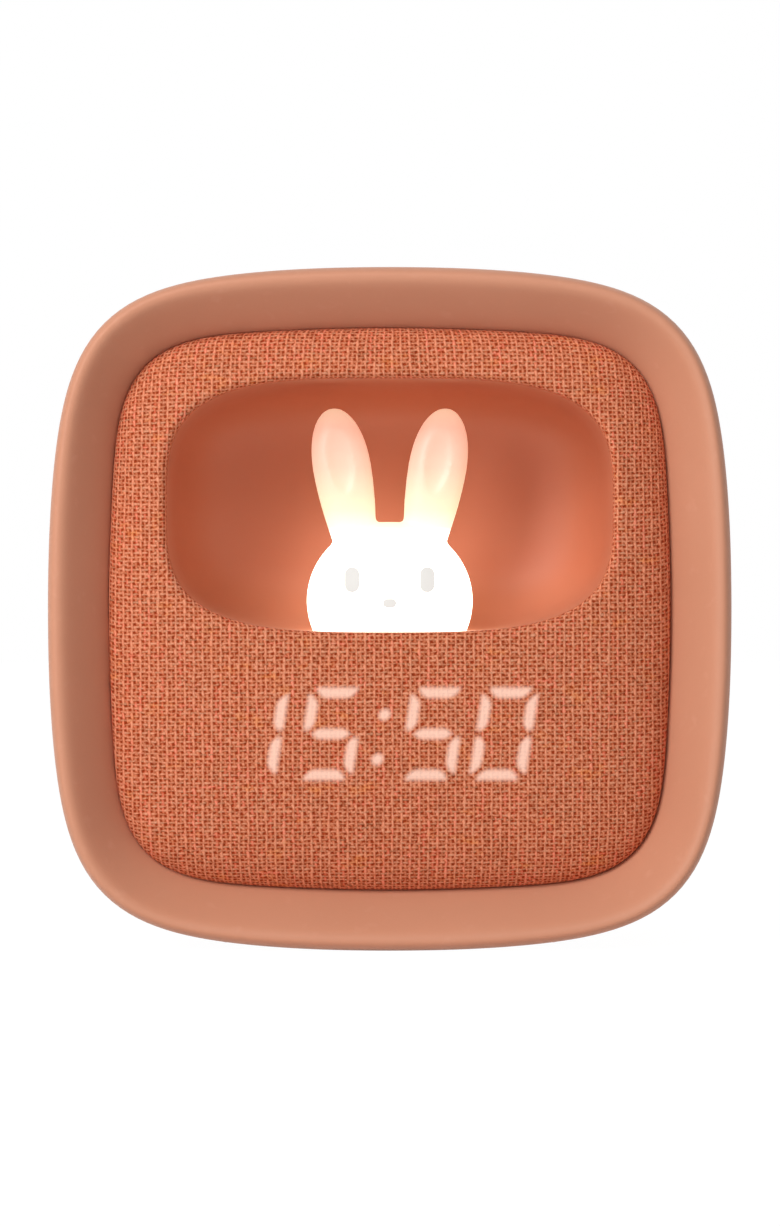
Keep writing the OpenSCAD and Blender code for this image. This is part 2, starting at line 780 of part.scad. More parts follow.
module display_board() {
    color("#2f6b4a") difference() {
        block(display_x - display_board_w / 2, display_x + display_board_w / 2, display_board_y,
            display_board_y + display_board_t, display_z - module_h / 2, display_z + module_h / 2);
        for (side = [-1, 1])
            rod_y(display_x + side * display_screw_x, display_z, display_board_y - 1,
                display_board_y + display_board_t + 1, m2_r + 0.2);
    }
}

module display_screws() {
    color("#b9bcc0") for (side = [-1, 1])
        screw_y(display_x + side * display_screw_x, display_z, display_board_y + display_board_t, 1, m2_r,
            m2_head_r, m2_head_t, display_board_t + 1.6);
}

// ---- Housing and cover ----

flange_open = 13.8;
tongue_gap = 0.15;
housing_profile = concat(
    [[lip_crest + lip_wall, cavity_top_y + 0.3], [housing_inset, cavity_top_y + 0.3]],
    body_side(housing_inset, cover_inset, housing_back_y, 10, cavity_top_y + 0.3),
    [
        [cover_inset, cover_in_y - skim],
        [cover_inset + ledge_w, cover_in_y - skim],
        [cover_inset + ledge_w, cover_in_y - skim - ledge_t]
    ],
    reversed([
        for (p = body_side(housing_inset + housing_wall, cover_inset + ledge_w, cover_in_y - ledge_t, 9))
            if (p[1] > flange_y + flange_t && p[1] < cover_in_y - skim - ledge_t - 0.6) p
    ]),
    [
        [body_inset((flange_y + flange_t - widest_y) / (housing_back_y - widest_y), housing_inset,
            cover_inset) + housing_wall, flange_y + flange_t],
        [flange_open, flange_y + flange_t],
        [flange_open, flange_y],
        [lip_w - lip_wall - tongue_gap, flange_y],
        [lip_w - lip_wall - tongue_gap, seat_y + 1.3]
    ]
);

// Height of the housing's floor, half-way through its wall, at depth y
function housing_floor(y) =
    body_inset((y - widest_y) / (housing_back_y - widest_y), housing_inset, cover_inset) + housing_wall / 2;

module mid_housing() {
    color("#4a4a4c") difference() {
        union() {
            skin([for (p = housing_profile) face_ring(p[0], p[1])], loop = true);
            for (side = [-1, 1], place = [panel_screw_top, panel_screw_low])
                rod_y(side * place[0], place[1], flange_y, flange_y + flange_t, 3);
            for (p = cover_screws_at) rod_y(p[0], p[1], cover_in_y - boss_l, cover_in_y - skim, boss_r);
            for (y = [cell_y - cell_l / 2 + 3, cell_y + cell_l / 2 - 5])
                block(-cell_w / 2 + 4, cell_w / 2 - 4, y, y + rail_t, housing_floor(y + rail_t / 2),
                    cell_z - pad_t - skim);
        }
        for (side = [-1, 1], place = [panel_screw_top, panel_screw_low])
            rod_y(side * place[0], place[1], flange_y - 1, flange_y + flange_t + 1, m2_r + 0.2);
        for (p = cover_screws_at) rod_y(p[0], p[1], cover_in_y - boss_l + 2, cover_in_y + 1, m25_r + skim);
        block(display_x - display_board_w / 2 - 0.3, display_x + display_board_w / 2 + 0.3,
            display_board_y - 0.3, flange_y + flange_t + 1, display_z - module_h / 2 - 0.3,
            display_z + module_h / 2 + 0.3);
    }
}

// The grille is one hole ringed by rows of 6, 12 and 18
grille_step = speaker_d / 8;
grille_places = concat(
    [[speaker_x, speaker_z]],
    [
        for (ring = [1 : 3], k = [0 : 6 * ring - 1])
            [speaker_x, speaker_z] + ring * grille_step * [cos(60 * k / ring), sin(60 * k / ring)]
    ]
);

module cover_holes() {
    for (name = key_names)
        rod_y(key_x(name), key_z, cover_in_y - 1, cover_out_y + 1, key_d / 2 + key_gap);
    for (p = cover_screws_at) {
        rod_y(p[0], p[1], cover_in_y - 1, cover_out_y + 1, m25_r + 0.2);
        rod_y(p[0], p[1], cover_out_y - m25_head_t - 0.1, cover_out_y + 1, m25_head_r + 0.2);
    }
    for (p = grille_places) rod_y(p[0], p[1], cover_in_y - 1, cover_out_y + 1, grille_hole_d / 2);
    along_y(cover_in_y - 1, cover_out_y + 1) {
        translate([usb_x, usb_z]) stadium(usb_w + 0.4, usb_h + 0.4);
        translate([slide_x + slide_travel / 2, slide_z])
            stadium(slide_knob_w + slide_travel + 1.4, slide_knob_h + 0.8);
    }
    along_y(cover_out_y - 0.5, cover_out_y + 1) {
        translate([slide_x + slide_travel / 2, slide_z])
            stadium(slide_knob_w + slide_travel + 3.4, slide_knob_h + 2.8);
        translate([0, label_z]) rounded_rect(label_w, label_h, 1.5);
    }
}

board_screw_x = 18;
board_screw_z = [key_z + 7, speaker_z + 15];

module rear_cover() {
    color("#c47a5c") difference() {
        union() {
            along_y(cover_in_y, cover_out_y) translate([0, mid_z]) polygon(face_outline(cover_inset));
            for (side = [-1, 1], z = board_screw_z)
                rod_y(side * board_screw_x, z, board_back_y, cover_in_y + eps, 2.5);
            difference() {
                rod_y(speaker_x, speaker_z, speaker_y - 2.2, cover_in_y + eps,
                    speaker_d / 2 + fit + speaker_wall);
                rod_y(speaker_x, speaker_z, speaker_y - 3, cover_in_y, speaker_d / 2 + fit);
            }
        }
        cover_holes();
        for (side = [-1, 1], z = board_screw_z)
            rod_y(side * board_screw_x, z, board_back_y - 1, board_back_y + 4.4, m2_r + skim);
    }
}

module cover_screws() {
    color("#8f9296") for (p = cover_screws_at)
        screw_y(p[0], p[1], cover_out_y - m25_head_t - 0.1, 1, m25_r, m25_head_r, m25_head_t, 8);
}

// ---- Keys and slide ----

// Raised marks on the keys, drawn about a point: a clock, a bell, minus, plus and a lamp
module key_mark(name) {
    if (name == "minus" || name == "plus") square([3.4, 0.7], center = true);
    if (name == "plus") square([0.7, 3.4], center = true);
    if (name == "time") {
        difference() {
            circle(r = 1.9);
            circle(r = 1.4);
        }
        translate([-0.2, -0.2]) square([0.4, 1.3]);
        translate([-0.2, -0.2]) square([1.1, 0.4]);
    }
    if (name == "alarm") {
        translate([0, 0.4]) circle(r = 1.2);
        polygon([[-1, 0.6], [-1.6, -0.9], [1.6, -0.9], [1, 0.6]]);
        translate([0, -1.4]) circle(r = 0.35);
    }
    if (name == "light") {
        circle(r = 0.8);
        for (a = [0 : 45 : 315]) rotate(a) translate([1.2, -0.2]) square([0.8, 0.4]);
    }
}

module key(name) {
    x = key_x(name);
    top_y = cover_out_y + key_proud;
    color("#d99b7f") difference() {
        union() {
            rod_y(x, key_z, key_flange_y - key_flange_t / 2, top_y - 0.4, key_d / 2);
            translate([x, top_y, key_z]) rotate([90, 0, 0])
                cylinder(h = 0.4 + eps, r1 = key_d / 2 - 0.4, r2 = key_d / 2);
            rod_y(x, key_z, key_flange_y - key_flange_t, key_flange_y, key_flange_r);
            rod_y(x, key_z, plunger_top_y, key_flange_y - key_flange_t + eps, 1.5);
        }
        along_y(top_y - 0.3, top_y + 1) translate([x, key_z]) key_mark(name);
    }
}

module plunger(name) {
    color("#3a3a3c") rod_y(key_x(name), key_z, plunger_in_y, plunger_top_y, plunger_r);
}

module key_switches() {
    color("#2e2e30") for (name = key_names) difference() {
        block(key_x(name) - switch_w / 2, key_x(name) + switch_w / 2, board_back_y, switch_top_y,
            key_z - switch_w / 2, key_z + switch_w / 2);
        rod_y(key_x(name), key_z, plunger_in_y - key_travel - 0.3, switch_top_y + 1, plunger_r + fit);
    }
}

slide_body_t = 3.2;

module slide_switch_body() {
    middle = slide_x + slide_travel / 2;
    top_y = board_back_y + slide_body_t;
    color("#c9ccce") difference() {
        block(middle - 4.8, middle + 4.8, board_back_y, top_y, slide_z - 2.3, slide_z + 2.3);
        along_y(top_y - 1.4, top_y + 1) translate([middle, slide_z])
            square([slide_knob_w + slide_travel + 0.6, slide_knob_h + 0.3], center = true);
    }
}

module slide_knob() {
    top_y = cover_out_y + 0.4;
    color("#f0e4dc") difference() {
        along_y(board_back_y + slide_body_t - 1.2, top_y) translate([slide_x, slide_z])
            square([slide_knob_w, slide_knob_h], center = true);
        for (x = [-0.8, 0, 0.8]) block(slide_x + x - 0.15, slide_x + x + 0.15, top_y - 0.25, top_y + 1,
            slide_z - slide_knob_h, slide_z + slide_knob_h);
    }
}

// ---- Boards and their parts ----

module main_board() {
    color("#2f6b4a") difference() {
        block(-board_w / 2, board_w / 2, board_front_y, board_back_y, board_z0, board_z0 + board_h);
        for (side = [-1, 1], z = board_screw_z)
            rod_y(side * board_screw_x, z, board_front_y - 1, board_back_y + 1, m2_r + 0.2);
        for (p = cover_screws_at) {
            out = boss_r + 0.6;
            low = p[1] < mid_z;
            rod_y(p[0], p[1], board_front_y - 1, board_back_y + 1, out);
            block(min(p[0], sign(p[0]) * board_w), max(p[0], sign(p[0]) * board_w), board_front_y - 1,
                board_back_y + 1, low ? board_z0 - 1 : p[1] - out, low ? p[1] + out : p[1] + face_h);
        }
    }
}

module board_screws() {
    color("#b9bcc0") for (side = [-1, 1], z = board_screw_z)
        screw_y(side * board_screw_x, z, board_front_y, -1, m2_r, m2_head_r, m2_head_t, board_t + 2.6);
}

module microcontroller() {
    color("#26262a") union() {
        block(-3.5, 3.5, board_front_y - 1.1, board_front_y - 0.1, key_z - 4, key_z + 3);
        for (i = [-3 : 1 : 3], side = [-1, 1])
            block(i * 0.9 - 0.2, i * 0.9 + 0.2, board_front_y - 0.5, board_front_y,
                key_z - 0.5 + (side > 0 ? 3.4 : -4.4), key_z - 0.5 + (side > 0 ? 4.4 : -3.4));
    }
}

module clock_crystal() {
    color("#c8cbce") translate([8, board_front_y - 1.25, key_z - 3])
        cylinder(h = 6, r = 1.25);
}

module charger_parts() {
    color("#55565a") {
        block(8, 13, board_front_y - 2.6, board_front_y, usb_z - 1, usb_z + 4);
        block(15, 17.9, board_front_y - 1, board_front_y, usb_z, usb_z + 2.8);
        for (x = [8 : 2.6 : 16])
            block(x, x + 1.6, board_front_y - 0.8, board_front_y, usb_z + 6, usb_z + 6.9);
        rod_y(22, usb_z + 11, board_front_y - 5.4, board_front_y, 2.5);
    }
}

plug_w = 6;
plug_h = 3.6;
plug_t = 4;
battery_plug = [-12, board_front_y - plug_t, mid_z - 25];
light_plug = [6, board_front_y - plug_t, mid_z - 4];
speaker_plug = [speaker_x + speaker_d / 2, board_back_y, usb_z - usb_h / 2 - plug_h - 0.5];

module wire_plugs() {
    color("#efece4") for (p = [battery_plug, light_plug, speaker_plug])
        translate(p) cube([plug_w, plug_t, plug_h]);
}

ribbon_w = 12;
ribbon_x = display_x;
ribbon_low = [display_board_y + display_board_t + 2.2, display_z - 1];
ribbon_high = [board_front_y - 2.2, mid_z - 10];

module ribbon_sockets() {
    color("#e6e2d8") {
        block(ribbon_x - 8, ribbon_x + 8, display_board_y + display_board_t, ribbon_low[0],
            ribbon_low[1] - 2.2, ribbon_low[1] + 2.2);
        block(ribbon_x - 8, ribbon_x + 8, ribbon_high[0], board_front_y, ribbon_high[1] - 2.2,
            ribbon_high[1] + 2.2);
    }
}

module display_ribbon() {
    line = route([ribbon_low[0], ribbon_low[1]], [ribbon_low[0] + 12, ribbon_low[1] - 6],
        [ribbon_high[0] - 12, ribbon_high[1] - 8], [ribbon_high[0], ribbon_high[1]], 12);
    color("#e9eef2") skin([
        for (p = line)
            [
                [ribbon_x - ribbon_w / 2, p[0], p[1] - 0.15], [ribbon_x + ribbon_w / 2, p[0], p[1] - 0.15],
                [ribbon_x + ribbon_w / 2, p[0], p[1] + 0.15], [ribbon_x - ribbon_w / 2, p[0], p[1] + 0.15]
            ]
    ]);
}

module usb_shell() {
    color("#c9ccd0") along_y(board_back_y, cover_out_y - 0.2) translate([usb_x, usb_z]) difference() {
        stadium(usb_w, usb_h);
        stadium(usb_w - 2 * usb_wall, usb_h - 2 * usb_wall);
    }
}

module usb_tongue() {
    color("#3a3b3f") union() {
        along_y(board_back_y, board_back_y + 2.4) translate([usb_x, usb_z])
            stadium(usb_w - 2 * usb_wall - 2 * skim, usb_h - 2 * usb_wall - 2 * skim);
        block(usb_x - 3.3, usb_x + 3.3, board_back_y + 2, cover_out_y - 1.1, usb_z - 0.35, usb_z + 0.35);
    }
}

// ---- Battery ----

module battery_cell() {
    color("#b8bcc2") translate([0, cell_y, cell_z]) union() {
        linear_extrude(height = cell_t) rounded_rect(cell_w, cell_l, 1.6);
        translate([-16, cell_l / 2 - 0.5, cell_t / 2 - 1.2]) cube([14, 1.6, 2.4]);
    }
}

module battery_pad() {
    color("#6f7073") translate([0, cell_y, cell_z - pad_t]) linear_extrude(height = pad_t - skim)
        rounded_rect(cell_w - 6, cell_l - 3, 1);
}

lead_r = 0.55;

module battery_lead(x, colour) {
    start = [battery_plug[0] + 1.5 + x, cell_y + cell_l / 2 + 1.1 + 4 * skim, cell_z + cell_t / 2];
    end = [battery_plug[0] + 1.5 + x, battery_plug[1] - 4 * skim, battery_plug[2] + plug_h / 2];
    color(colour) tube(route(start, start + [0, 3.4, 0], end - [0, 3.4, 0], end, 12), lead_r);
}

module battery_lead_red() {
    battery_lead(0, "#b3261e");
}

module battery_lead_black() {
    battery_lead(3, "#1d1d1f");
}

module light_leads() {
    color("#dfe2e6") for (x = [0, 3]) {
        start = [light_plug[0] + 1.5 + x, light_screw_y + 3.4 + 3 * skim,
            light_board_top - light_board_t / 2];
        end = [light_plug[0] + 1.5 + x, light_plug[1] - 3 * skim, light_plug[2] + plug_h / 2];
        tube(route(start, start + [0, 8, 0], end - [0, 8, 0], end, 14), lead_r);
    }
}

// ---- Speaker ----

module about_speaker() {
    translate([speaker_x, speaker_y, speaker_z]) rotate([90, 0, 0]) children();
}

module speaker_gasket() {
    color("#2a2a2c") difference() {
        rod_y(speaker_x, speaker_z, speaker_y, cover_in_y, speaker_d / 2);
        rod_y(speaker_x, speaker_z, speaker_y - 1, cover_in_y + 1, speaker_d / 2 - 1.9);
    }
}

module speaker_frame() {
    color("#54565b") about_speaker() rotate_extrude() polygon([
        [speaker_d / 2 - 1.7, 0], [speaker_d / 2, 0], [speaker_d / 2, 0.9], [speaker_d / 2 - 1.2, 1.3],
        [6.9, speaker_t - 1.6], [6.9, speaker_t], [6.1, speaker_t], [6.1, speaker_t - 2.1],
        [speaker_d / 2 - 1.7, 0.8]
    ]);
}

module speaker_magnet() {
    color("#7d8086") about_speaker() translate([0, 0, speaker_t - 2]) cylinder(h = 2, r = 6.1 - skim);
}

module speaker_cone() {
    rim = speaker_d / 2 - 1.75;
    color("#e8e4da") about_speaker() rotate_extrude() polygon([
        [0, 0.5], [2, 0.7], [3.6, 1.5], [rim - 1.6, 0.35], [rim - 0.8, 0.1], [rim, 0.3],
        [rim, 0.6], [rim - 0.8, 0.4], [rim - 1.6, 0.65], [3.6, 1.85], [3.4, 2.2], [2.9, 2.2],
        [2.7, 1.6], [1.8, 1], [0, 0.8]
    ]);
}

module speaker_leads() {
    color("#8a1f1a") for (x = [0, 3]) {
        turn = -35 - x * 7;
        start = [speaker_x + 8.6 * cos(turn), speaker_y - 2.8, speaker_z + 8.6 * sin(turn)];
        end = [speaker_plug[0] + 1.5 + x, speaker_plug[1] + plug_t / 2, speaker_plug[2] + plug_h + 4 * skim];
        tube(route(start, start + [2.5, -0.8, -0.6], end + [0, 0, 3], end, 10), lead_r);
    }
}

silicone_sleeve();
front_fabric();
front_panel();
panel_screws();
niche_bowl();
rabbit_diffuser();
rabbit_face_inlays();
light_board();
light_leds();
light_board_screws();
light_leads();
display_film();
display_housing();
lit_segments();
unlit_segments();
display_board();
display_leds();
display_screws();
display_ribbon();
mid_housing();
rear_cover();
cover_screws();
main_board();
board_screws();
microcontroller();
clock_crystal();
charger_parts();
wire_plugs();
ribbon_sockets();
usb_shell();
usb_tongue();
battery_cell();
battery_pad();
battery_lead_red();
battery_lead_black();
speaker_frame();
speaker_cone();
speaker_magnet();
speaker_gasket();
speaker_leads();
key_switches();
key("time");  // time_key
plunger("time");  // time_plunger
key("alarm");  // alarm_key
plunger("alarm");  // alarm_plunger
key("minus");  // minus_key
plunger("minus");  // minus_plunger
key("plus");  // plus_key
plunger("plus");  // plus_plunger
key("light");  // light_key
plunger("light");  // light_plunger
slide_switch_body();
slide_knob();
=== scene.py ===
import math

import bmesh
import bpy
from mathutils import Matrix, Vector


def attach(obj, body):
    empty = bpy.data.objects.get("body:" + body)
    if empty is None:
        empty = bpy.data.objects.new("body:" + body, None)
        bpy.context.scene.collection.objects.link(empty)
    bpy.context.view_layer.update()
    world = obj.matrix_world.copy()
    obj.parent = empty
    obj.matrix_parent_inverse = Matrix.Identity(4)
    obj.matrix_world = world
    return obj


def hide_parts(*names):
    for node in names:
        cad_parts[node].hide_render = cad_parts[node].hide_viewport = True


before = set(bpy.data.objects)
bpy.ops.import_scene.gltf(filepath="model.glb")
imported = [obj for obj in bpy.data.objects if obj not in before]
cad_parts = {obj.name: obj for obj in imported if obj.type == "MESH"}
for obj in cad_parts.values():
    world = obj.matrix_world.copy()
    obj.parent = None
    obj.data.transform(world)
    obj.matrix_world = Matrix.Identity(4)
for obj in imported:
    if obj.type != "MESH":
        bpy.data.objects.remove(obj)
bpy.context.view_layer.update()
MM = 0.001

# ---- Sizes of the clock, in millimetres ----
# They are the solids' own, apart from the cloth's shown thickness, its weave's pitch, and where
# the light of the display shows on it, which is up to half a millimetre off the bars behind.

FACE = 50.0                 # half of the face
CORNER_N, N_GAIN, SIDE_BOW = 3.85, 0.12, 0.019
FRONT_Y, BACK_Y, WIDEST_Y = -31.0, 31.0, -27.6
SEAT_Y, CROWN_Y, CROWN, PILLOW_P = -22.4, -29.2, 6.8, 4.0
SIDE_TAPER, BACK_ROUND, SLEEVE_WALL = 4.0, 12.0, 2.4
LIP_CREST, LIP_EDGE, LIP_W = 1.5, 3.4, 8.5
CLOTH_T, PANEL_T = 0.8, 2.0
NICHE_A, NICHE_B, NICHE_N, NICHE_Z = 32.85, 18.7, 3.4, 65.25
BOWL_Y0, BOWL_DEPTH, BOWL_M, BOWL_WALL = -21.0, 26.8, 4.5, 1.6
RABBIT_Y, HEAD_Z, HEAD_RISE, DOME_H = -12.2, 51.25, 4.7, 11.9
HEAD_A, HEAD_B, NECK_FOOT_Z = 12.5, 7.0, 43.25
EAR_X, EAR_Z, EAR_LEAN, EAR_L, EAR_A, EAR_B = 4.75, 6.188, 10.0, 23.18, 4.4, 2.5
CLOTH_SHOWN_T, FOLD, SKIRT = 0.7, 1.0, (0.7, 1.4, 2.0)
WARP_PITCH, WEFT_PITCH = 0.66, 0.60
RIM_W, POST_X, POST_Y, POST_R, POST_H = 3.6, 18.5, -8.2, 2.3, 3.4
EYE_X, EYE_UP, EYE_SIZE = 5.6, 3.1, (2.2, 3.8)
NOSE_DOWN, NOSE_SIZE = 0.4, (2.0, 1.3)
POCKET, DIFFUSER_WALL, FLANGE, FLANGE_T = 0.7, 1.4, 1.2, 0.8
FOOT_X, FOOT_Y, FOOT_SIZE, FOOT_EASE = 22, -1.6, (7, 28, 2.4), 0.9
DISPLAY_X, DISPLAY_Z, SLANT = -1.2, 31.75, math.tan(math.radians(9))
DIGIT_W, DIGIT_H, BAR_T, BAR_GAP = 6.7, 12.0, 1.5, 0.9
DIGITS = ((-18.57, "1"), (-7.4, "5"), (7.5, "5"), (17.87, "0"))
GLOW_EDGE, DOT_R, DOTS_UP, DOTS_APART = 0.78, 0.80, -0.465, 3.265


# ---- Finishes ----

class Signal:
    """What a socket gives, so that sums on it can be written as sums."""

    def __init__(self, finish, socket):
        self.finish, self.socket = finish, socket

    def sum(self, operation, *values):
        return self.finish.node("ShaderNodeMath", {"operation": operation}, dict(enumerate(values)))

    def output(self, name):
        return Signal(self.finish, self.socket.node.outputs[name])

    def __add__(self, other): return self.sum("ADD", self, other)
    def __radd__(self, other): return self.sum("ADD", other, self)
    def __sub__(self, other): return self.sum("SUBTRACT", self, other)
    def __rsub__(self, other): return self.sum("SUBTRACT", other, self)
    def __mul__(self, other): return self.sum("MULTIPLY", self, other)
    def __truediv__(self, other): return self.sum("DIVIDE", self, other)
    def __pow__(self, other): return self.sum("POWER", self, other)
    def __gt__(self, other): return self.sum("GREATER_THAN", self, other)
    def __abs__(self): return self.sum("ABSOLUTE", self)
    def __neg__(self): return self.sum("MULTIPLY", self, -1.0)

    def floor(self): return self.sum("FLOOR", self)
    def fract(self): return self.sum("FRACT", self)
    def cosine(self): return self.sum("COSINE", self)
    def root(self): return self.sum("SQRT", self)
    def least(self, other): return self.sum("MINIMUM", self, other)
    def most(self, other): return self.sum("MAXIMUM", self, other)
    def held(self): return self.least(1.0).most(0.0)


class Finish:
    """A material and its nodes."""

    def __init__(self, name):
        self.material = bpy.data.materials.new(name)
        self.material.use_nodes = True
        self.tree = self.material.node_tree
        self.tree.nodes.clear()
        self.end = self.tree.nodes.new("ShaderNodeOutputMaterial")

    def node(self, kind, settings=None, sockets=None, out=0):
        made = self.tree.nodes.new(kind)
        for name, value in (settings or {}).items():
            if name == "stops":
                while len(made.color_ramp.elements) < len(value):
                    made.color_ramp.elements.new(0.5)
                for stop, (place, colour) in zip(made.color_ramp.elements, value):
                    stop.position, stop.color = place, (*colour, 1)
            else:
                setattr(made, name, value)
        for name, value in (sockets or {}).items():
            if isinstance(value, Signal):
                self.tree.links.new(value.socket, made.inputs[name])
            else:
                made.inputs[name].default_value = value
        return Signal(self, made.outputs[out])

    def place(self):
        return self.node("ShaderNodeTexCoord").output("Object")

    def parts(self, vector):
        split = self.node("ShaderNodeSeparateXYZ", None, {0: vector})
        return split.output("X"), split.output("Y"), split.output("Z")

    def joined(self, x, y, z=0.0):
        return self.node("ShaderNodeCombineXYZ", None, {0: x, 1: y, 2: z})

    def scaled(self, vector, by):
        return self.node("ShaderNodeVectorMath", {"operation": "MULTIPLY"}, {0: vector, 1: by})

    def noise(self, vector, scale, detail=2.0, rough=0.5):
        return self.node("ShaderNodeTexNoise", None,
                         {"Vector": vector, "Scale": scale, "Detail": detail, "Roughness": rough})

    def mix(self, share, first, second, blend="MIX"):
        colours = [c if isinstance(c, Signal) else (*c, 1) for c in (first, second)]
        return self.node("ShaderNodeMix", {"data_type": "RGBA", "blend_type": blend},
                         {0: share, 6: colours[0], 7: colours[1]}, out=2)

    def ramp(self, value, stops):
        return self.node("ShaderNodeValToRGB", {"stops": stops}, {0: value})

    def bump(self, height, depth, strength=1.0):
        return self.node("ShaderNodeBump", None,
                         {"Strength": strength, "Distance": depth, "Height": height})

    def surface(self, **sockets):
        """The shader, with each socket named in plain letters: base_color for Base Color."""
        named = {name.replace("_", " ").title().replace("Ior", "IOR"): value
                 for name, value in sockets.items()}
        shader = self.node("ShaderNodeBsdfPrincipled", None, {
            name: (*value, 1) if isinstance(value, tuple) and len(value) == 3
            and name.endswith(("Color", "Tint")) else value for name, value in named.items()})
        self.tree.links.new(shader.socket, self.end.inputs["Surface"])
        return self.material


def moulded(name, colour, rough=0.5, grain=0.35, depth=0.03, shade=0.06, **sockets):
    """Moulded plastic or rubber: a fine eroded grain, and a slight drift of colour and gloss.
    grain is the size of the grain in millimetres, and depth its depth."""
    f = Finish(name)
    place = f.place()
    fine = f.noise(place, 0.5 / (grain * MM), 3.0, 0.6)
    drift = f.noise(place, 60.0, 3.0)
    dark = tuple(c * (1 - shade * 1.6) for c in colour)
    light = tuple(min(1.0, c * (1 + shade)) for c in colour)
    return f.surface(
        base_color=f.mix((drift * 0.7 + fine * 0.3 - 0.3) * 2.5, dark, light),
        roughness=rough + (drift - 0.5) * 0.16 + (fine - 0.5) * 0.1,
        normal=f.bump(fine, depth * MM, 0.6), **sockets)


def metal(name, colour, rough=0.3, lines=(1.0, 1.0, 1.0), **sockets):
    """Bare or plated metal with faint rolling or turning lines."""
    f = Finish(name)
    place = f.place()
    streaks = f.noise(f.scaled(place, lines), 900.0, 3.0, 0.65)
    stain = f.noise(place, 140.0, 3.0)
    dark = tuple(c * 0.82 for c in colour)
    return f.surface(base_color=f.mix(stain, colour, dark), metallic=1.0,
                     roughness=rough + (streaks - 0.5) * 0.22,
                     normal=f.bump(streaks, 0.012 * MM, 0.5), **sockets)


def silicone():
    """The sleeve: matt silicone with a dry, slightly powdery skin."""
    f = Finish("terracotta_silicone")
    place = f.place()
    skin = f.noise(place, 2400.0, 3.0, 0.62)
    drift = f.noise(place, 45.0, 4.0, 0.55)
    dust = f.noise(place, 420.0, 2.0)
    base = f.mix(drift, (0.595, 0.252, 0.144), (0.640, 0.281, 0.167))
    base = f.mix((dust - 0.62) * 1.2, base, (0.72, 0.36, 0.245))
    return f.surface(base_color=base, roughness=0.6 + (skin - 0.5) * 0.2 + (drift - 0.5) * 0.1,
                     specular_ior_level=0.5, sheen_weight=0.22, sheen_roughness=0.45,
                     sheen_tint=(1.0, 0.88, 0.80),
                     normal=f.bump(skin + drift * 0.6, 0.022 * MM, 0.7))


def soft(inside):
    """A soft-edged mask of what lies inside, from a signed distance in millimetres."""
    return (inside / GLOW_EDGE + 0.5).held()


def lit_bars(x, z):
    """Mask of the lit bars and dots: x and z in millimetres from the display's middle."""
    x = x - z * SLANT
    level, slot = abs(z), BAR_GAP / 2
    ends = soft(BAR_T / 2 - abs(level - DIGIT_H / 2))
    middle = soft(BAR_T / 2 - level)
    whole = None
    for place, digit in DIGITS:
        across = x - place
        out = abs(across)
        mitre = (out - DIGIT_W / 2) - (level - DIGIT_H / 2)
        side = (soft(BAR_T / 2 - abs(out - DIGIT_W / 2)) * soft(mitre * 0.707 - slot)
                * soft(DIGIT_H / 2 - 0.10 - level)
                * soft((level - (DIGIT_W / 2 - out).most(0.0)) * 0.8 - slot))
        flat = ends * soft(mitre * -0.707 - slot) * soft(DIGIT_W / 2 - 0.30 - out)
        if digit == "1":
            lit = side * (across > 0.0)
        elif digit == "5":
            # the upper left and lower right sides: where x and z have opposite signs
            bar = middle * soft((DIGIT_W / 2 - out - level) * 0.707 - slot)
            lit = (side * (-(across * z) > 0.0)).most(flat).most(bar)
        else:
            lit = side.most(flat)
        whole = lit if whole is None else whole.most(lit)
    off = abs(z - DOTS_UP) - DOTS_APART
    dots = (x * x + off * off).root()
    return whole.most(soft(DOT_R - dots))


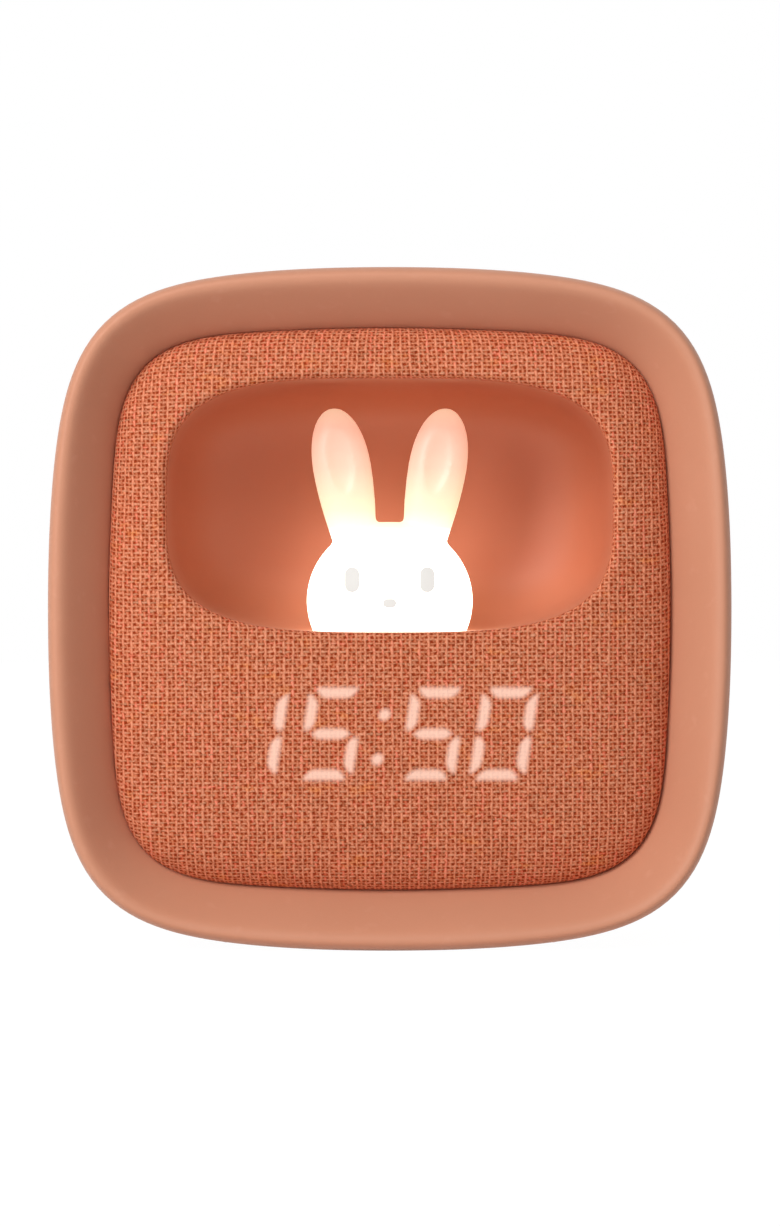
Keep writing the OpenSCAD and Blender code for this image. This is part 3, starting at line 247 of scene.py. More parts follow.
def woven():
    """The front's cloth: a plain weave of melange yarn with open holes between the threads,
    and the display's light coming through it."""
    f = Finish("woven_front_cloth")
    flat = f.node("ShaderNodeUVMap", {"uv_map": "flat_cloth"})
    u, v, _ = f.parts(flat)
    drift = f.noise(flat, 230.0, 3.0, 0.6)
    du, dv, _ = f.parts(drift.output("Color"))
    kink = f.noise(flat, 1500.0, 1.0)
    ku, kv, _ = f.parts(kink.output("Color"))
    u = u / (WARP_PITCH * MM) + (du - 0.5) * 0.60 + (ku - 0.5) * 0.46
    v = v / (WEFT_PITCH * MM) + (dv - 0.5) * 0.60 + (kv - 0.5) * 0.46
    column, row = u.floor(), v.floor()
    warp_x = abs(u.fract() - 0.5) * 2.0
    weft_z = abs(v.fract() - 0.5) * 2.0
    strong = (column * 0.5).fract() * 2.0        # every other warp thread stands out
    open_hole = (u * math.pi).cosine() * (v * math.pi).cosine()
    # a thread's thickness and colour drift along it, and differ from its neighbours'
    yarn_of_warp = f.noise(f.joined(column * 7.31, v * 0.07), 1.0, 4.0, 0.7)
    yarn_of_weft = f.noise(f.joined(u * 0.09, row * 7.31, 9.0), 1.0, 4.0, 0.7)
    slub_of_warp = f.noise(f.joined(column * 5.17, v * 0.55, 4.0), 1.0, 1.0)
    slub_of_weft = f.noise(f.joined(u * 0.55, row * 5.17, 6.0), 1.0, 1.0)
    warp_dome = (1.0 - (warp_x / (0.30 + slub_of_warp * 1.00)) ** 2.0).most(0.0)
    weft_dome = (1.0 - (weft_z / (0.26 + slub_of_weft * 1.00)) ** 2.0).most(0.0)
    warp_wave = ((v - 0.5 + column) * math.pi).cosine()
    weft_wave = ((u - 0.5 + row) * math.pi).cosine() * -1.0
    warp_high = warp_dome * (0.62 + strong * 0.24 + warp_wave * 0.14)
    weft_high = weft_dome * (0.74 + weft_wave * 0.16)
    height = warp_high.most(weft_high) - open_hole * 0.12
    warp_on_top = ((warp_high - weft_high) * 5.0 + 0.5).held()

    fleck = f.noise(flat, 4200.0, 2.0, 0.7)
    warp_colour = f.ramp(yarn_of_warp * 0.75 + fleck * 0.25, [
        (0.38, (0.560, 0.180, 0.092)), (0.44, (0.700, 0.230, 0.118)),
        (0.49, (0.820, 0.290, 0.160)), (0.53, (0.740, 0.220, 0.100)),
        (0.58, (0.880, 0.205, 0.120)), (0.65, (0.800, 0.340, 0.210))])
    warp_colour = f.mix(strong * 0.22, warp_colour, (0.900, 0.320, 0.190))
    weft_colour = f.ramp(yarn_of_weft * 0.75 + fleck * 0.25, [
        (0.38, (0.440, 0.190, 0.100)), (0.45, (0.640, 0.206, 0.098)),
        (0.51, (0.740, 0.272, 0.148)), (0.57, (0.520, 0.250, 0.140)),
        (0.64, (0.800, 0.190, 0.106))])
    thread = f.mix(warp_on_top, weft_colour, warp_colour)
    thread = f.mix(1.0, thread, (0.965, 0.935, 0.905), "MULTIPLY")
    # painted shade: darker down in the holes and the dips between the threads
    depth = (height * 1.18 - 0.08 - open_hole * 0.14 + (kink - 0.5) * 1.6).held()
    shade = f.ramp(depth, [
        (0.0, (0.44, 0.155, 0.060)), (0.45, (0.72, 0.53, 0.42)), (1.0, (1.0, 1.0, 1.0))])
    # paler along the crests as a painted highlight, and patches, streaks and flecks of other yarn
    warp_crest_highlight = (1.0 - warp_x * 1.7).most(0.0) * (0.35 + strong * 0.5) * (slub_of_warp * 3.2 - 0.8)
    weft_crest_highlight = ((1.0 - weft_z * 1.6).most(0.0) * (1.0 - strong * warp_dome)
                  * (slub_of_weft * 3.2 - 0.75))
    thread = f.mix(warp_crest_highlight.most(weft_crest_highlight) * 0.50, thread, (0.88, 0.40, 0.25))
    patch = f.noise(f.scaled(flat, (1.0, 2.2, 1.0)), 130.0, 3.0, 0.75)
    thread = f.mix((patch - 0.58) * 5.0, thread, (0.86, 0.29, 0.085))
    weft_on_top = 1.0 - warp_on_top
    streak = ((yarn_of_warp - 0.56) * warp_on_top).most((yarn_of_weft - 0.57) * weft_on_top)
    thread = f.mix(streak * 5.5, thread, (0.92, 0.25, 0.155))
    thread = f.mix((fleck - 0.54) * 2.2, thread, (0.90, 0.47, 0.31))
    thread = f.mix((0.44 - fleck) * 2.4, thread, (0.74, 0.15, 0.07))
    base = f.mix(1.0, thread, shade, "MULTIPLY")

    x, _, z = f.parts(f.place())
    # the display's light is painted on the cloth: a glow, and a paler base colour, over the bars
    # behind
    glow = lit_bars(x / MM - DISPLAY_X, z / MM - DISPLAY_Z)
    base = f.mix(glow * 0.9, base, (0.52, 0.26, 0.17))
    light = f.mix(glow, (0.0, 0.0, 0.0), (0.50, 0.360, 0.308))
    return f.surface(base_color=base, roughness=0.86 + (fleck - 0.5) * 0.12,
                     specular_ior_level=0.15, sheen_weight=0.05, sheen_roughness=0.4,
                     sheen_tint=(1.0, 0.66, 0.48), emission_color=light, emission_strength=1.0,
                     normal=f.bump(height + fleck * 0.10, 0.16 * MM, 0.85))


def lamp_plastic():
    """The rabbit: milky plastic lit from below, brightest at the head and warm at the ear tips."""
    f = Finish("milky_lamp_plastic")
    place = f.place()
    _, _, z = f.parts(place)
    skin = f.noise(place, 700.0, 2.0)
    share = (z / MM - 60.0) / 22.0 + (skin - 0.5) * 0.01
    light = f.ramp(share, [
        (0.03, (1.000, 0.900, 0.740)), (0.10, (0.300, 0.290, 0.220)), (0.22, (0.250, 0.235, 0.145)),
        (0.37, (0.240, 0.180, 0.113)), (0.51, (0.240, 0.136, 0.089)), (0.65, (0.240, 0.120, 0.081)),
        (0.78, (0.240, 0.112, 0.075)), (0.90, (0.240, 0.136, 0.088))])
    return f.surface(base_color=f.mix(skin, (0.27, 0.24, 0.21), (0.31, 0.28, 0.25)),
                     roughness=0.42 + (skin - 0.5) * 0.1, emission_color=light,
                     emission_strength=3.4, normal=f.bump(skin, 0.015 * MM, 0.5))


def niche_plastic():
    """The niche's satin plastic, a little paler low down as painted light, where the lamp's light
    gathers.
    """
    f = Finish("satin_niche_plastic")
    place = f.place()
    _, _, z = f.parts(place)
    fine = f.noise(place, 1000.0, 3.0, 0.6)
    drift = f.noise(place, 60.0, 3.0)
    # painted light: the paler colour low down stands in for the lamp's light there
    low = ((57.0 - z / MM) / 9.0).held()
    base = f.mix(low, (0.530, 0.170, 0.087), (0.560, 0.222, 0.128))
    base = f.mix((drift - 0.5) * 0.3 + 0.1, base, (0.500, 0.155, 0.078))
    return f.surface(base_color=base, roughness=0.55 + (drift - 0.5) * 0.16 + (fine - 0.5) * 0.1,
                     normal=f.bump(fine, 0.012 * MM, 0.6))


def circuit_board(name, colour, track):
    """A lacquered board with faint copper tracks under the lacquer."""
    f = Finish(name)
    place = f.place()
    tracks = f.node("ShaderNodeTexBrick", {"offset": 0.5}, {
        "Vector": f.node("ShaderNodeMapping", None, {0: place, 2: (math.pi / 2, 0, 0)}),
        "Color1": (0, 0, 0, 1), "Color2": (0, 0, 0, 1), "Mortar": (1, 1, 1, 1),
        "Scale": 190.0, "Mortar Size": 0.035, "Mortar Smooth": 0.3})
    mask = f.parts(tracks)[0]
    grain = f.noise(place, 800.0, 3.0)
    return f.surface(base_color=f.mix(mask * 0.6 + grain * 0.1, colour, track),
                     roughness=0.35 + (grain - 0.5) * 0.15,
                     normal=f.bump(mask, 0.03 * MM, 0.5), coat_roughness=0.2)


# ---- Shapes ----

def deselect():
    if bpy.context.object and bpy.context.object.mode != "OBJECT":
        bpy.ops.object.mode_set(mode="OBJECT")
    bpy.ops.object.select_all(action="DESELECT")


def choose(piece):
    deselect()
    piece.select_set(True)
    bpy.context.view_layer.objects.active = piece


def evenly(points, count):
    """count points at equal steps along a line of points."""
    run = [0.0]
    for a, b in zip(points, points[1:]):
        run.append(run[-1] + math.dist(a, b))
    made, i = [], 0
    for k in range(count):
        goal = run[-1] * k / (count - 1)
        while i < len(points) - 2 and run[i + 1] < goal:
            i += 1
        share = (goal - run[i]) / max(run[i + 1] - run[i], 1e-12)
        made.append(tuple(a + (b - a) * share for a, b in zip(points[i], points[i + 1])))
    return made


def power(value, e):
    return math.copysign(abs(value) ** e, value)


def turns_for(count, n):
    """Angles at which a superellipse's points lie at equal steps, the same in each quarter."""
    dense = [math.radians(90 * (1 - math.cos(math.pi * i / 4000)) / 2) for i in range(4001)]
    line = [(math.cos(t) ** (2 / n) if t < math.pi / 2 else 0.0, math.sin(t) ** (2 / n), t)
            for t in dense]
    run = [0.0]
    for a, b in zip(line, line[1:]):
        run.append(run[-1] + math.dist(a[:2], b[:2]))
    quarter, i = [], 0
    for k in range(count // 4):
        goal = run[-1] * k * 4 / count
        while run[i + 1] < goal:
            i += 1
        share = (goal - run[i]) / (run[i + 1] - run[i])
        quarter.append(dense[i] + (dense[i + 1] - dense[i]) * share)
    return [t + q * math.pi / 2 for q in range(4) for t in quarter]


ROUND = turns_for(240, 4.0)


def squircle(a, b, n, turns=ROUND):
    return [(a * power(math.cos(t), 2 / n), b * power(math.sin(t), 2 / n)) for t in turns]


def n_at(inset):
    return CORNER_N + N_GAIN * min(inset, LIP_W)


def drawn_in(u, v):
    """Share of a superellipse's size that the face's outline keeps in the direction u, v."""
    s = (2 * u * v / max(1e-9, u * u + v * v)) ** 2
    return 1 - SIDE_BOW * s * (1 - s ** 3)


def face_outline(inset):
    half = FACE - inset
    return [(x * drawn_in(x, z), z * drawn_in(x, z)) for x, z in squircle(half, half, n_at(inset))]


def face_ring(inset, y):
    return [Vector((x, y, z + FACE)) * MM for x, z in face_outline(inset)]


def pillow_y(x, z, inset, top_y):
    """Depth of the crowned front over x, z off the middle of the face."""
    n = n_at(inset)
    u, v = abs(x) / (FACE - inset), abs(z) / (FACE - inset)
    reach = (u ** n + v ** n) ** (1 / n) / drawn_in(u, v)
    return top_y + CROWN * (1 - math.sqrt(max(0.0, 1 - min(1.0, reach ** PILLOW_P))))


def body_inset(s, wall, end_inset):
    return (wall + SIDE_TAPER * s ** 1.5
            + (end_inset - wall - SIDE_TAPER) * (1 - max(0.0, 1 - s ** 4) ** 0.25))


def bezier(a, b, c, d, t):
    return tuple((1 - t) ** 3 * p + 3 * t * (1 - t) ** 2 * q + 3 * t * t * (1 - t) * r + t ** 3 * s
                 for p, q, r, s in zip(a, b, c, d))


def loft(name, rings, looped=False, capped=False):
    """A circle, extruded ring by ring. Each corner keeps its step round the ring and its row."""
    deselect()
    bpy.ops.mesh.primitive_circle_add(vertices=len(rings[0]), radius=1)
    piece = bpy.context.object
    piece.name = piece.data.name = name
    bpy.ops.object.mode_set(mode="EDIT")
    bpy.ops.mesh.select_mode(type="VERT")
    mesh = bmesh.from_edit_mesh(piece.data)
    step, row = mesh.verts.layers.int.new("step"), mesh.verts.layers.int.new("row")
    for i, corner in enumerate(mesh.verts):
        corner[step], corner.co = i, rings[0][i]
    if capped:
        bpy.ops.mesh.edge_face_add()
        mesh = bmesh.from_edit_mesh(piece.data)
        for face in mesh.faces:
            face.select = False
        for edge in mesh.edges:
            edge.select = True
    for number, ring in enumerate(rings[1:] + ([rings[0]] if looped else []), 1):
        bpy.ops.mesh.extrude_edges_move()
        mesh = bmesh.from_edit_mesh(piece.data)
        step, row = mesh.verts.layers.int["step"], mesh.verts.layers.int["row"]
        for corner in mesh.verts:
            if corner.select:
                corner.co, corner[row] = ring[corner[step]], number
    if capped:
        bpy.ops.mesh.edge_face_add()
    bpy.ops.mesh.select_all(action="SELECT")
    if looped:
        bpy.ops.mesh.remove_doubles(threshold=1e-7)
    bpy.ops.mesh.normals_make_consistent(inside=False)
    bpy.ops.object.mode_set(mode="OBJECT")
    return piece


def apply_modifier(piece, kind, **settings):
    choose(piece)
    made = piece.modifiers.new(kind.lower(), kind)
    for name, value in settings.items():
        setattr(made, name, value)
    bpy.ops.object.modifier_apply(modifier=made.name)
    return piece


def cut(piece, cutter):
    apply_modifier(piece, "BOOLEAN", operation="DIFFERENCE", object=cutter, solver="EXACT")
    bpy.data.objects.remove(cutter)
    return piece


def join(pieces):
    choose(pieces[0])
    for other in pieces[1:]:
        other.select_set(True)
    bpy.ops.object.join()
    return pieces[0]


def smooth(piece, angle=30):
    choose(piece)
    bpy.ops.object.shade_smooth_by_angle(angle=math.radians(angle))
    return piece


def finish_piece(piece, material, slot, *nodes, body="casing"):
    piece.data.materials.clear()
    piece.data.materials.append(material)
    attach(piece, body)
    if nodes:
        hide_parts(*nodes)
    return piece


def rounded(node, radius, segments=2, angle=35, ease=30):
    """A merged copy of a node's solid with its sharp edges broken by a radius in millimetres."""
    deselect()
    piece = bpy.data.objects.new(node + "_finished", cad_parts[node].data.copy())
    bpy.context.scene.collection.objects.link(piece)
    choose(piece)
    bpy.ops.mesh.customdata_custom_splitnormals_clear()
    bpy.ops.object.mode_set(mode="EDIT")
    bpy.ops.mesh.select_all(action="SELECT")
    bpy.ops.mesh.remove_doubles(threshold=2e-6)
    bpy.ops.mesh.dissolve_limited(angle_limit=math.radians(0.3))
    bpy.ops.object.mode_set(mode="OBJECT")
    apply_modifier(piece, "BEVEL", width=radius * MM, segments=segments,
                   limit_method="ANGLE", angle_limit=math.radians(angle),
                   use_clamp_overlap=True, harden_normals=False)
    return smooth(piece, ease)


# ---- The sleeve ----

def underside_z(x, y):
    inset = body_inset((y - WIDEST_Y) / (BACK_Y - WIDEST_Y), 0, SIDE_TAPER + BACK_ROUND)
    n, u = n_at(inset), abs(x) / (FACE - inset)
    v = (1 - u ** n) ** (1 / n)
    return FACE - (FACE - inset) * v * drawn_in(u, v)


def foot(x):
    """A moulded foot: a cube drawn to the foot's outline, level below, with its edges rounded."""
    deselect()
    half = FOOT_SIZE[2] / 2
    bpy.ops.mesh.primitive_cube_add(size=1, location=Vector((x, FOOT_Y, half)) * MM,
                                    scale=Vector(FOOT_SIZE) * MM)
    piece = bpy.context.object
    bpy.ops.object.transform_apply(location=True, rotation=True, scale=True)
    for corner in piece.data.vertices:
        if corner.co.z > half * MM:
            corner.co.z = (underside_z(corner.co.x / MM, corner.co.y / MM) + half) * MM
    bpy.ops.object.mode_set(mode="EDIT")
    bpy.ops.mesh.select_all(action="SELECT")
    bpy.ops.mesh.bevel(offset=FOOT_EASE * MM, offset_pct=0, segments=4, affect="EDGES")
    bpy.ops.mesh.normals_make_consistent(inside=False)
    bpy.ops.object.mode_set(mode="OBJECT")
    low = min(corner.co.z for corner in piece.data.vertices)
    for corner in piece.data.vertices:
        corner.co.z -= low * max(0.0, 1 - corner.co.z / (2 * MM))
    return piece


def sleeve():
    # each point of the profile is its inset from the face's edge, and its depth
    lip_out = [(LIP_CREST * (1 - math.cos(a)), FRONT_Y + LIP_EDGE * (1 - math.sin(a)))
               for a in [math.radians(90 - 7.5 * i) for i in range(13)]]
    side = [(body_inset(s, 0, SIDE_TAPER + BACK_ROUND), WIDEST_Y + (BACK_Y - WIDEST_Y) * s)
            for s in [1 - (1 - i / 600) ** 3 for i in range(601)]]
    inner_end = BACK_Y - SLEEVE_WALL
    inner = [(body_inset(s, SLEEVE_WALL, 16.7), WIDEST_Y + (inner_end - WIDEST_Y) * s)
             for s in [1 - (1 - i / 300) ** 3 for i in range(301)]]
    inner = [p for p in inner if p[1] > -26.4]
    slope = evenly([bezier((LIP_CREST, FRONT_Y), (LIP_CREST + 1.2, FRONT_Y),
                           (LIP_CREST + 2.1, FRONT_Y + 1.3), (LIP_W + 0.02, SEAT_Y + 0.2), i / 80)
                    for i in range(80, -1, -1)], 27)[:-1]
    profile = (lip_out + evenly(side, 64)[1:] + [(16.5, 30.8), (16.7, 30.2)]
               + evenly(inner, 26)[::-1]
               + [(2.4, -26.9), (3.5, -26.9), (6.7, -21.35), (6.7, -19.15), (8.0, -19.15),
                  (8.35, -19.5), (8.4, -21.6)]
               + slope)
    piece = loft("sleeve", [face_ring(inset, y) for inset, y in profile], looped=True)
    smooth(piece, 50)
    whole = join([piece, foot(-FOOT_X), foot(FOOT_X)])
    return finish_piece(smooth(whole, 50), silicone(), "silicone", "silicone_sleeve")


# ---- The cloth front ----

def niche_outline(grow):
    return squircle(NICHE_A + grow, NICHE_B + grow, NICHE_N)


def cloth_lines():
    """For each step round the niche, the cloth's line from inside the niche to behind the lip:
    a list of (x, y, z) in millimetres, z off the middle of the face."""
    rise = NICHE_Z - FACE
    rows = 44
    mouth, grown = niche_outline(0), niche_outline(FOLD)
    edge = face_outline(LIP_W)
    lines = []
    for (mx, mz), (gx, gz), (ex, ez) in zip(mouth, grown, edge):
        mz, gz = mz + rise, gz + rise
        front = pillow_y(gx, gz, LIP_W, CROWN_Y)
        back = pillow_y(mx, mz, LIP_W + CLOTH_T + PANEL_T, CROWN_Y + CLOTH_T + PANEL_T)
        wall = [(mx, back + (front + FOLD - back) * i / 3, mz) for i in range(3)]
        turn = []
        for i in range(7):
            a = math.radians(15 * i)
            share = 1 - math.cos(a)
            turn.append((mx + (gx - mx) * share, front + FOLD * (1 - math.sin(a)),
                         mz + (gz - mz) * share))
        across = []
        for i in range(401):
            s = 1 - (1 - i / 400) ** 2.5
            x, z = gx + (ex - gx) * s, gz + (ez - gz) * s
            across.append((x, pillow_y(x, z, LIP_W, CROWN_Y), z))
        skirt = [(ex, SEAT_Y + d, ez) for d in SKIRT]
        lines.append(wall + turn + evenly(across, rows)[1:] + skirt)
    return lines


def flat_points(line):
    """The line laid out flat: each point's place on the cloth before it was stretched."""
    start = 9                   # the fold's last point, where the flat front begins
    placed = [None] * len(line)
    placed[start] = (line[start][0], line[start][2])
    for order in (range(start + 1, len(line)), range(start - 1, -1, -1)):
        for i in order:
            j = i - 1 if i > start else i + 1
            dx, dz = line[i][0] - line[j][0], line[i][2] - line[j][2]
            span = math.hypot(dx, dz)
            if span < 1e-4:
                k = (j - 1 if i > start else j + 1)
                dx, dz = placed[j][0] - placed[k][0], placed[j][1] - placed[k][1]
                span = math.hypot(dx, dz)
            length = math.dist(line[i], line[j])
            placed[i] = (placed[j][0] + dx / span * length, placed[j][1] + dz / span * length)
    return placed


def cloth_front():
    lines = cloth_lines()
    rings = [[Vector((line[k][0], line[k][1], line[k][2] + FACE)) * MM for line in lines]
             for k in range(len(lines[0]))]
    piece = loft("woven_front", rings)
    flats = [flat_points(line) for line in lines]
    choose(piece)
    bpy.ops.object.mode_set(mode="EDIT")
    mesh = bmesh.from_edit_mesh(piece.data)
    step, row = mesh.verts.layers.int["step"], mesh.verts.layers.int["row"]
    laid = mesh.loops.layers.uv.new("flat_cloth")
    for face in mesh.faces:
        for loop in face.loops:
            x, z = flats[loop.vert[step]][loop.vert[row]]
            loop[laid].uv = ((x + 60) * MM, (z + 60) * MM)
    bmesh.update_edit_mesh(piece.data)
    bpy.ops.object.mode_set(mode="OBJECT")
    middle = piece.data.polygons[len(piece.data.polygons) // 2]
    if middle.normal.y > 0:
        choose(piece)
        bpy.ops.object.mode_set(mode="EDIT")
        bpy.ops.mesh.select_all(action="SELECT")
        bpy.ops.mesh.flip_normals()
        bpy.ops.object.mode_set(mode="OBJECT")
    apply_modifier(piece, "SOLIDIFY", thickness=CLOTH_SHOWN_T * MM, offset=-1, use_rim=True)
    smooth(piece, 60)
    finish_piece(piece, woven(), "cloth", "front_fabric")
    return piece


# ---- The niche and the rabbit ----

def head_section(z, grow):
    k = math.sqrt(max(0.0, 1 - (z / (DOME_H + grow)) ** 2))
    return (HEAD_A + grow) * k, (HEAD_B + grow) * k


def level_ring(a, b, z, count=72, y=0.0):
    turns = [2 * math.pi * i / count for i in range(count)]
    return [Vector((a * math.cos(t), y + b * math.sin(t), z)) * MM for t in turns]


def dome(name, grow, foot_z):
    """The head's outline as a closed form: a neck with straight sides and a dome over it."""
    neck = head_section(-HEAD_RISE, 0)
    rings = [level_ring(neck[0] + grow, neck[1] + grow, foot_z, y=RABBIT_Y),
             level_ring(neck[0] + grow, neck[1] + grow, HEAD_Z - HEAD_RISE, y=RABBIT_Y)]
    first, last = math.asin(-HEAD_RISE / (DOME_H + grow)) + 0.03, math.asin(0.995)
    for i in range(30):
        angle = first + (last - first) * i / 29
        z = (DOME_H + grow) * math.sin(angle)
        a, b = head_section(z, grow)
        rings.append(level_ring(a, b, HEAD_Z + z, y=RABBIT_Y))
    return loft(name, rings, capped=True)


def niche_bowl():
    def ring(grow, share, y):
        return [Vector((x * share, y, z * share + NICHE_Z)) * MM for x, z in niche_outline(grow)]

    def mouth(grow, deep):
        inset, top_y = LIP_W + CLOTH_T + PANEL_T, CROWN_Y + CLOTH_T + PANEL_T
        return [Vector((x, pillow_y(x, z + NICHE_Z - FACE, inset, top_y) + deep,
                        z + NICHE_Z)) * MM for x, z in niche_outline(grow)]

    def wall(depth, count):
        reach = 26              # between the niche's two half sizes, to space the rings evenly
        line = []
        for i in range(501):
            a = math.pi / 2 * i / 500
            line.append((max(0.0, math.cos(a)) ** (2 / BOWL_M) * reach,
                         math.sin(a) ** (2 / BOWL_M) * depth))
        return [(p[0] / reach, BOWL_Y0 + p[1]) for p in evenly(line, count)][:-1]

    inside = wall(BOWL_DEPTH, 44)
    outside = wall(BOWL_DEPTH + BOWL_WALL, 26)
    rings = ([ring(0, s, y) for s, y in reversed(inside)]
             + [mouth(0, 0.05), mouth(RIM_W, 0.05), mouth(RIM_W, 1.4), mouth(BOWL_WALL, 1.4)]
             + [ring(BOWL_WALL, s, y) for s, y in outside])
    piece = loft("niche_bowl_finished", rings, capped=True)
    cut(piece, dome("slot", 0.15, 40.0))
    posts = []
    for x in (-POST_X, POST_X):
        deselect()
        middle = Vector((x, POST_Y, NECK_FOOT_Z + POST_H / 2)) * MM
        bpy.ops.mesh.primitive_cylinder_add(vertices=32, radius=POST_R * MM, depth=POST_H * MM,
                                            location=middle)
        bpy.ops.object.transform_apply(location=True, rotation=True, scale=True)
        posts.append(bpy.context.object)
    whole = join([piece] + posts)
    return finish_piece(smooth(whole, 40), niche_plastic(), "niche_plastic", "niche_bowl")


def ear(side):
    def half(u):
        return ((0.62 + 0.38 * math.sin(math.pi / 2 * min(1, u / 0.62)))
                * math.sqrt(max(0.0, 1 - max(0.0, (u - 0.6) / 0.4) ** 2.2)))

    shares = [0.6 * i / 14 for i in range(14)]
    shares += [0.6 + 0.4 * math.sin(math.pi / 2 * i / 12) for i in range(12)] + [0.998]
    rings = [level_ring(half(u) * EAR_A, half(u) * EAR_B, u * EAR_L, 40) for u in shares]
    piece = loft("ear", rings, capped=True)
    deselect()
    middle = (0, -EAR_B * MM, EAR_L * 0.66 * MM)
    bpy.ops.mesh.primitive_uv_sphere_add(segments=32, ring_count=20, radius=MM, location=middle)
    dish = bpy.context.object
    bpy.ops.object.transform_apply(location=False)
    bpy.ops.object.mode_set(mode="EDIT")
    bpy.ops.mesh.select_all(action="SELECT")
    bpy.ops.transform.resize(value=(2.1, 0.8, 5.5), center_override=middle)
    bpy.ops.object.mode_set(mode="OBJECT")
    cut(piece, dish)
    choose(piece)
    lean = Matrix.Rotation(math.radians(side * EAR_LEAN), 4, "Y")
    root = Matrix.Translation(Vector((side * EAR_X, RABBIT_Y, HEAD_Z + EAR_Z)) * MM)
    piece.data.transform(root @ lean)
    return piece


def face_prism(x, z, w, h, front_y):
    """A slot-shaped cutter for an eye or the nose, from in front of the head to its pocket."""
    deselect()
    r, length = min(w, h) / 2, 8
    y = front_y + POCKET - length / 2
    bpy.ops.mesh.primitive_cylinder_add(vertices=32, radius=r * MM, depth=length * MM,
                                        rotation=(math.pi / 2, 0, 0),
                                        location=(x * MM, y * MM, z * MM))
    piece = bpy.context.object
    bpy.ops.object.transform_apply(location=True, rotation=True, scale=True)
    for corner in piece.data.vertices:
        if h > w:
            corner.co.z += math.copysign((h - w) / 2 * MM, corner.co.z - z * MM)
        else:
            corner.co.x += math.copysign((w - h) / 2 * MM, corner.co.x - x * MM)
    return piece


def rabbit():
    neck = head_section(-HEAD_RISE, 0)
    flange = loft("flange", [level_ring(neck[0] + FLANGE, neck[1] + FLANGE, z, y=RABBIT_Y)
                             for z in (NECK_FOOT_Z, NECK_FOOT_Z + FLANGE_T)], capped=True)
    whole = join([dome("rabbit", 0, NECK_FOOT_Z), ear(-1), ear(1), flange])
    apply_modifier(whole, "REMESH", mode="VOXEL", voxel_size=0.32 * MM, adaptivity=0)
    apply_modifier(whole, "SMOOTH", factor=0.5, iterations=8)
    hollow = dome("hollow", -DIFFUSER_WALL, NECK_FOOT_Z - 1)
    cut(whole, hollow)

    def front(x, z):
        return RABBIT_Y - HEAD_B * math.sqrt(1 - (x / HEAD_A) ** 2 - (z / DOME_H) ** 2)

    for x in (-EYE_X, EYE_X):
        cut(whole, face_prism(x, HEAD_Z + EYE_UP, *EYE_SIZE, front(EYE_X, EYE_UP)))
    cut(whole, face_prism(0.0, HEAD_Z - NOSE_DOWN, *NOSE_SIZE, front(0.0, NOSE_DOWN)))
    finish_piece(smooth(whole, 40), lamp_plastic(), "glow_plastic", "rabbit_diffuser")
    inlays = rounded("rabbit_face_inlays", 0.08, 2, 50, 40)
    # the lamp's light through the eyes and nose is painted on as a glow over a dark base
    f = Finish("face_inlay_painted_glow")
    skin = f.noise(f.place(), 900.0, 2.0)
    material = f.surface(base_color=f.mix(skin, (0.11, 0.10, 0.09), (0.13, 0.12, 0.11)),
                         roughness=0.55 + (skin - 0.5) * 0.1, specular_ior_level=0.2,
                         emission_color=(0.74, 0.73, 0.70), emission_strength=1.0)
    finish_piece(inlays, material, "inlay_plastic", "rabbit_face_inlays")
    return whole


# ---- The back ----

def back():
    cover = moulded("terracotta_cover_plastic", (0.56, 0.205, 0.115), rough=0.55, grain=0.45,
                    depth=0.05)
    finish_piece(rounded("rear_cover", 0.25, 2), cover, "cover_plastic", "rear_cover")
    key_skin = moulded("key_silicone", (0.70, 0.33, 0.215), rough=0.6, grain=0.3, depth=0.02)
    for name in ("time", "alarm", "minus", "plus", "light"):
        finish_piece(rounded(name + "_key", 0.12, 2), key_skin, "key_silicone", name + "_key",
                     body=name + "_button")
    finish_piece(rounded("slide_knob", 0.12, 2),
                 moulded("slide_knob_plastic", (0.86, 0.75, 0.68), rough=0.4, grain=0.3,
                         depth=0.01),
                 "knob_plastic", "slide_knob", body="alarm_slide")
    finish_piece(rounded("cover_screws", 0.1, 2),
                 metal("cover_screw_steel", (0.36, 0.37, 0.39), 0.34), "steel", "cover_screws")
    finish_piece(rounded("usb_shell", 0.05, 2), metal("socket_nickel", (0.68, 0.69, 0.70), 0.22),
                 "plated_steel", "usb_shell")


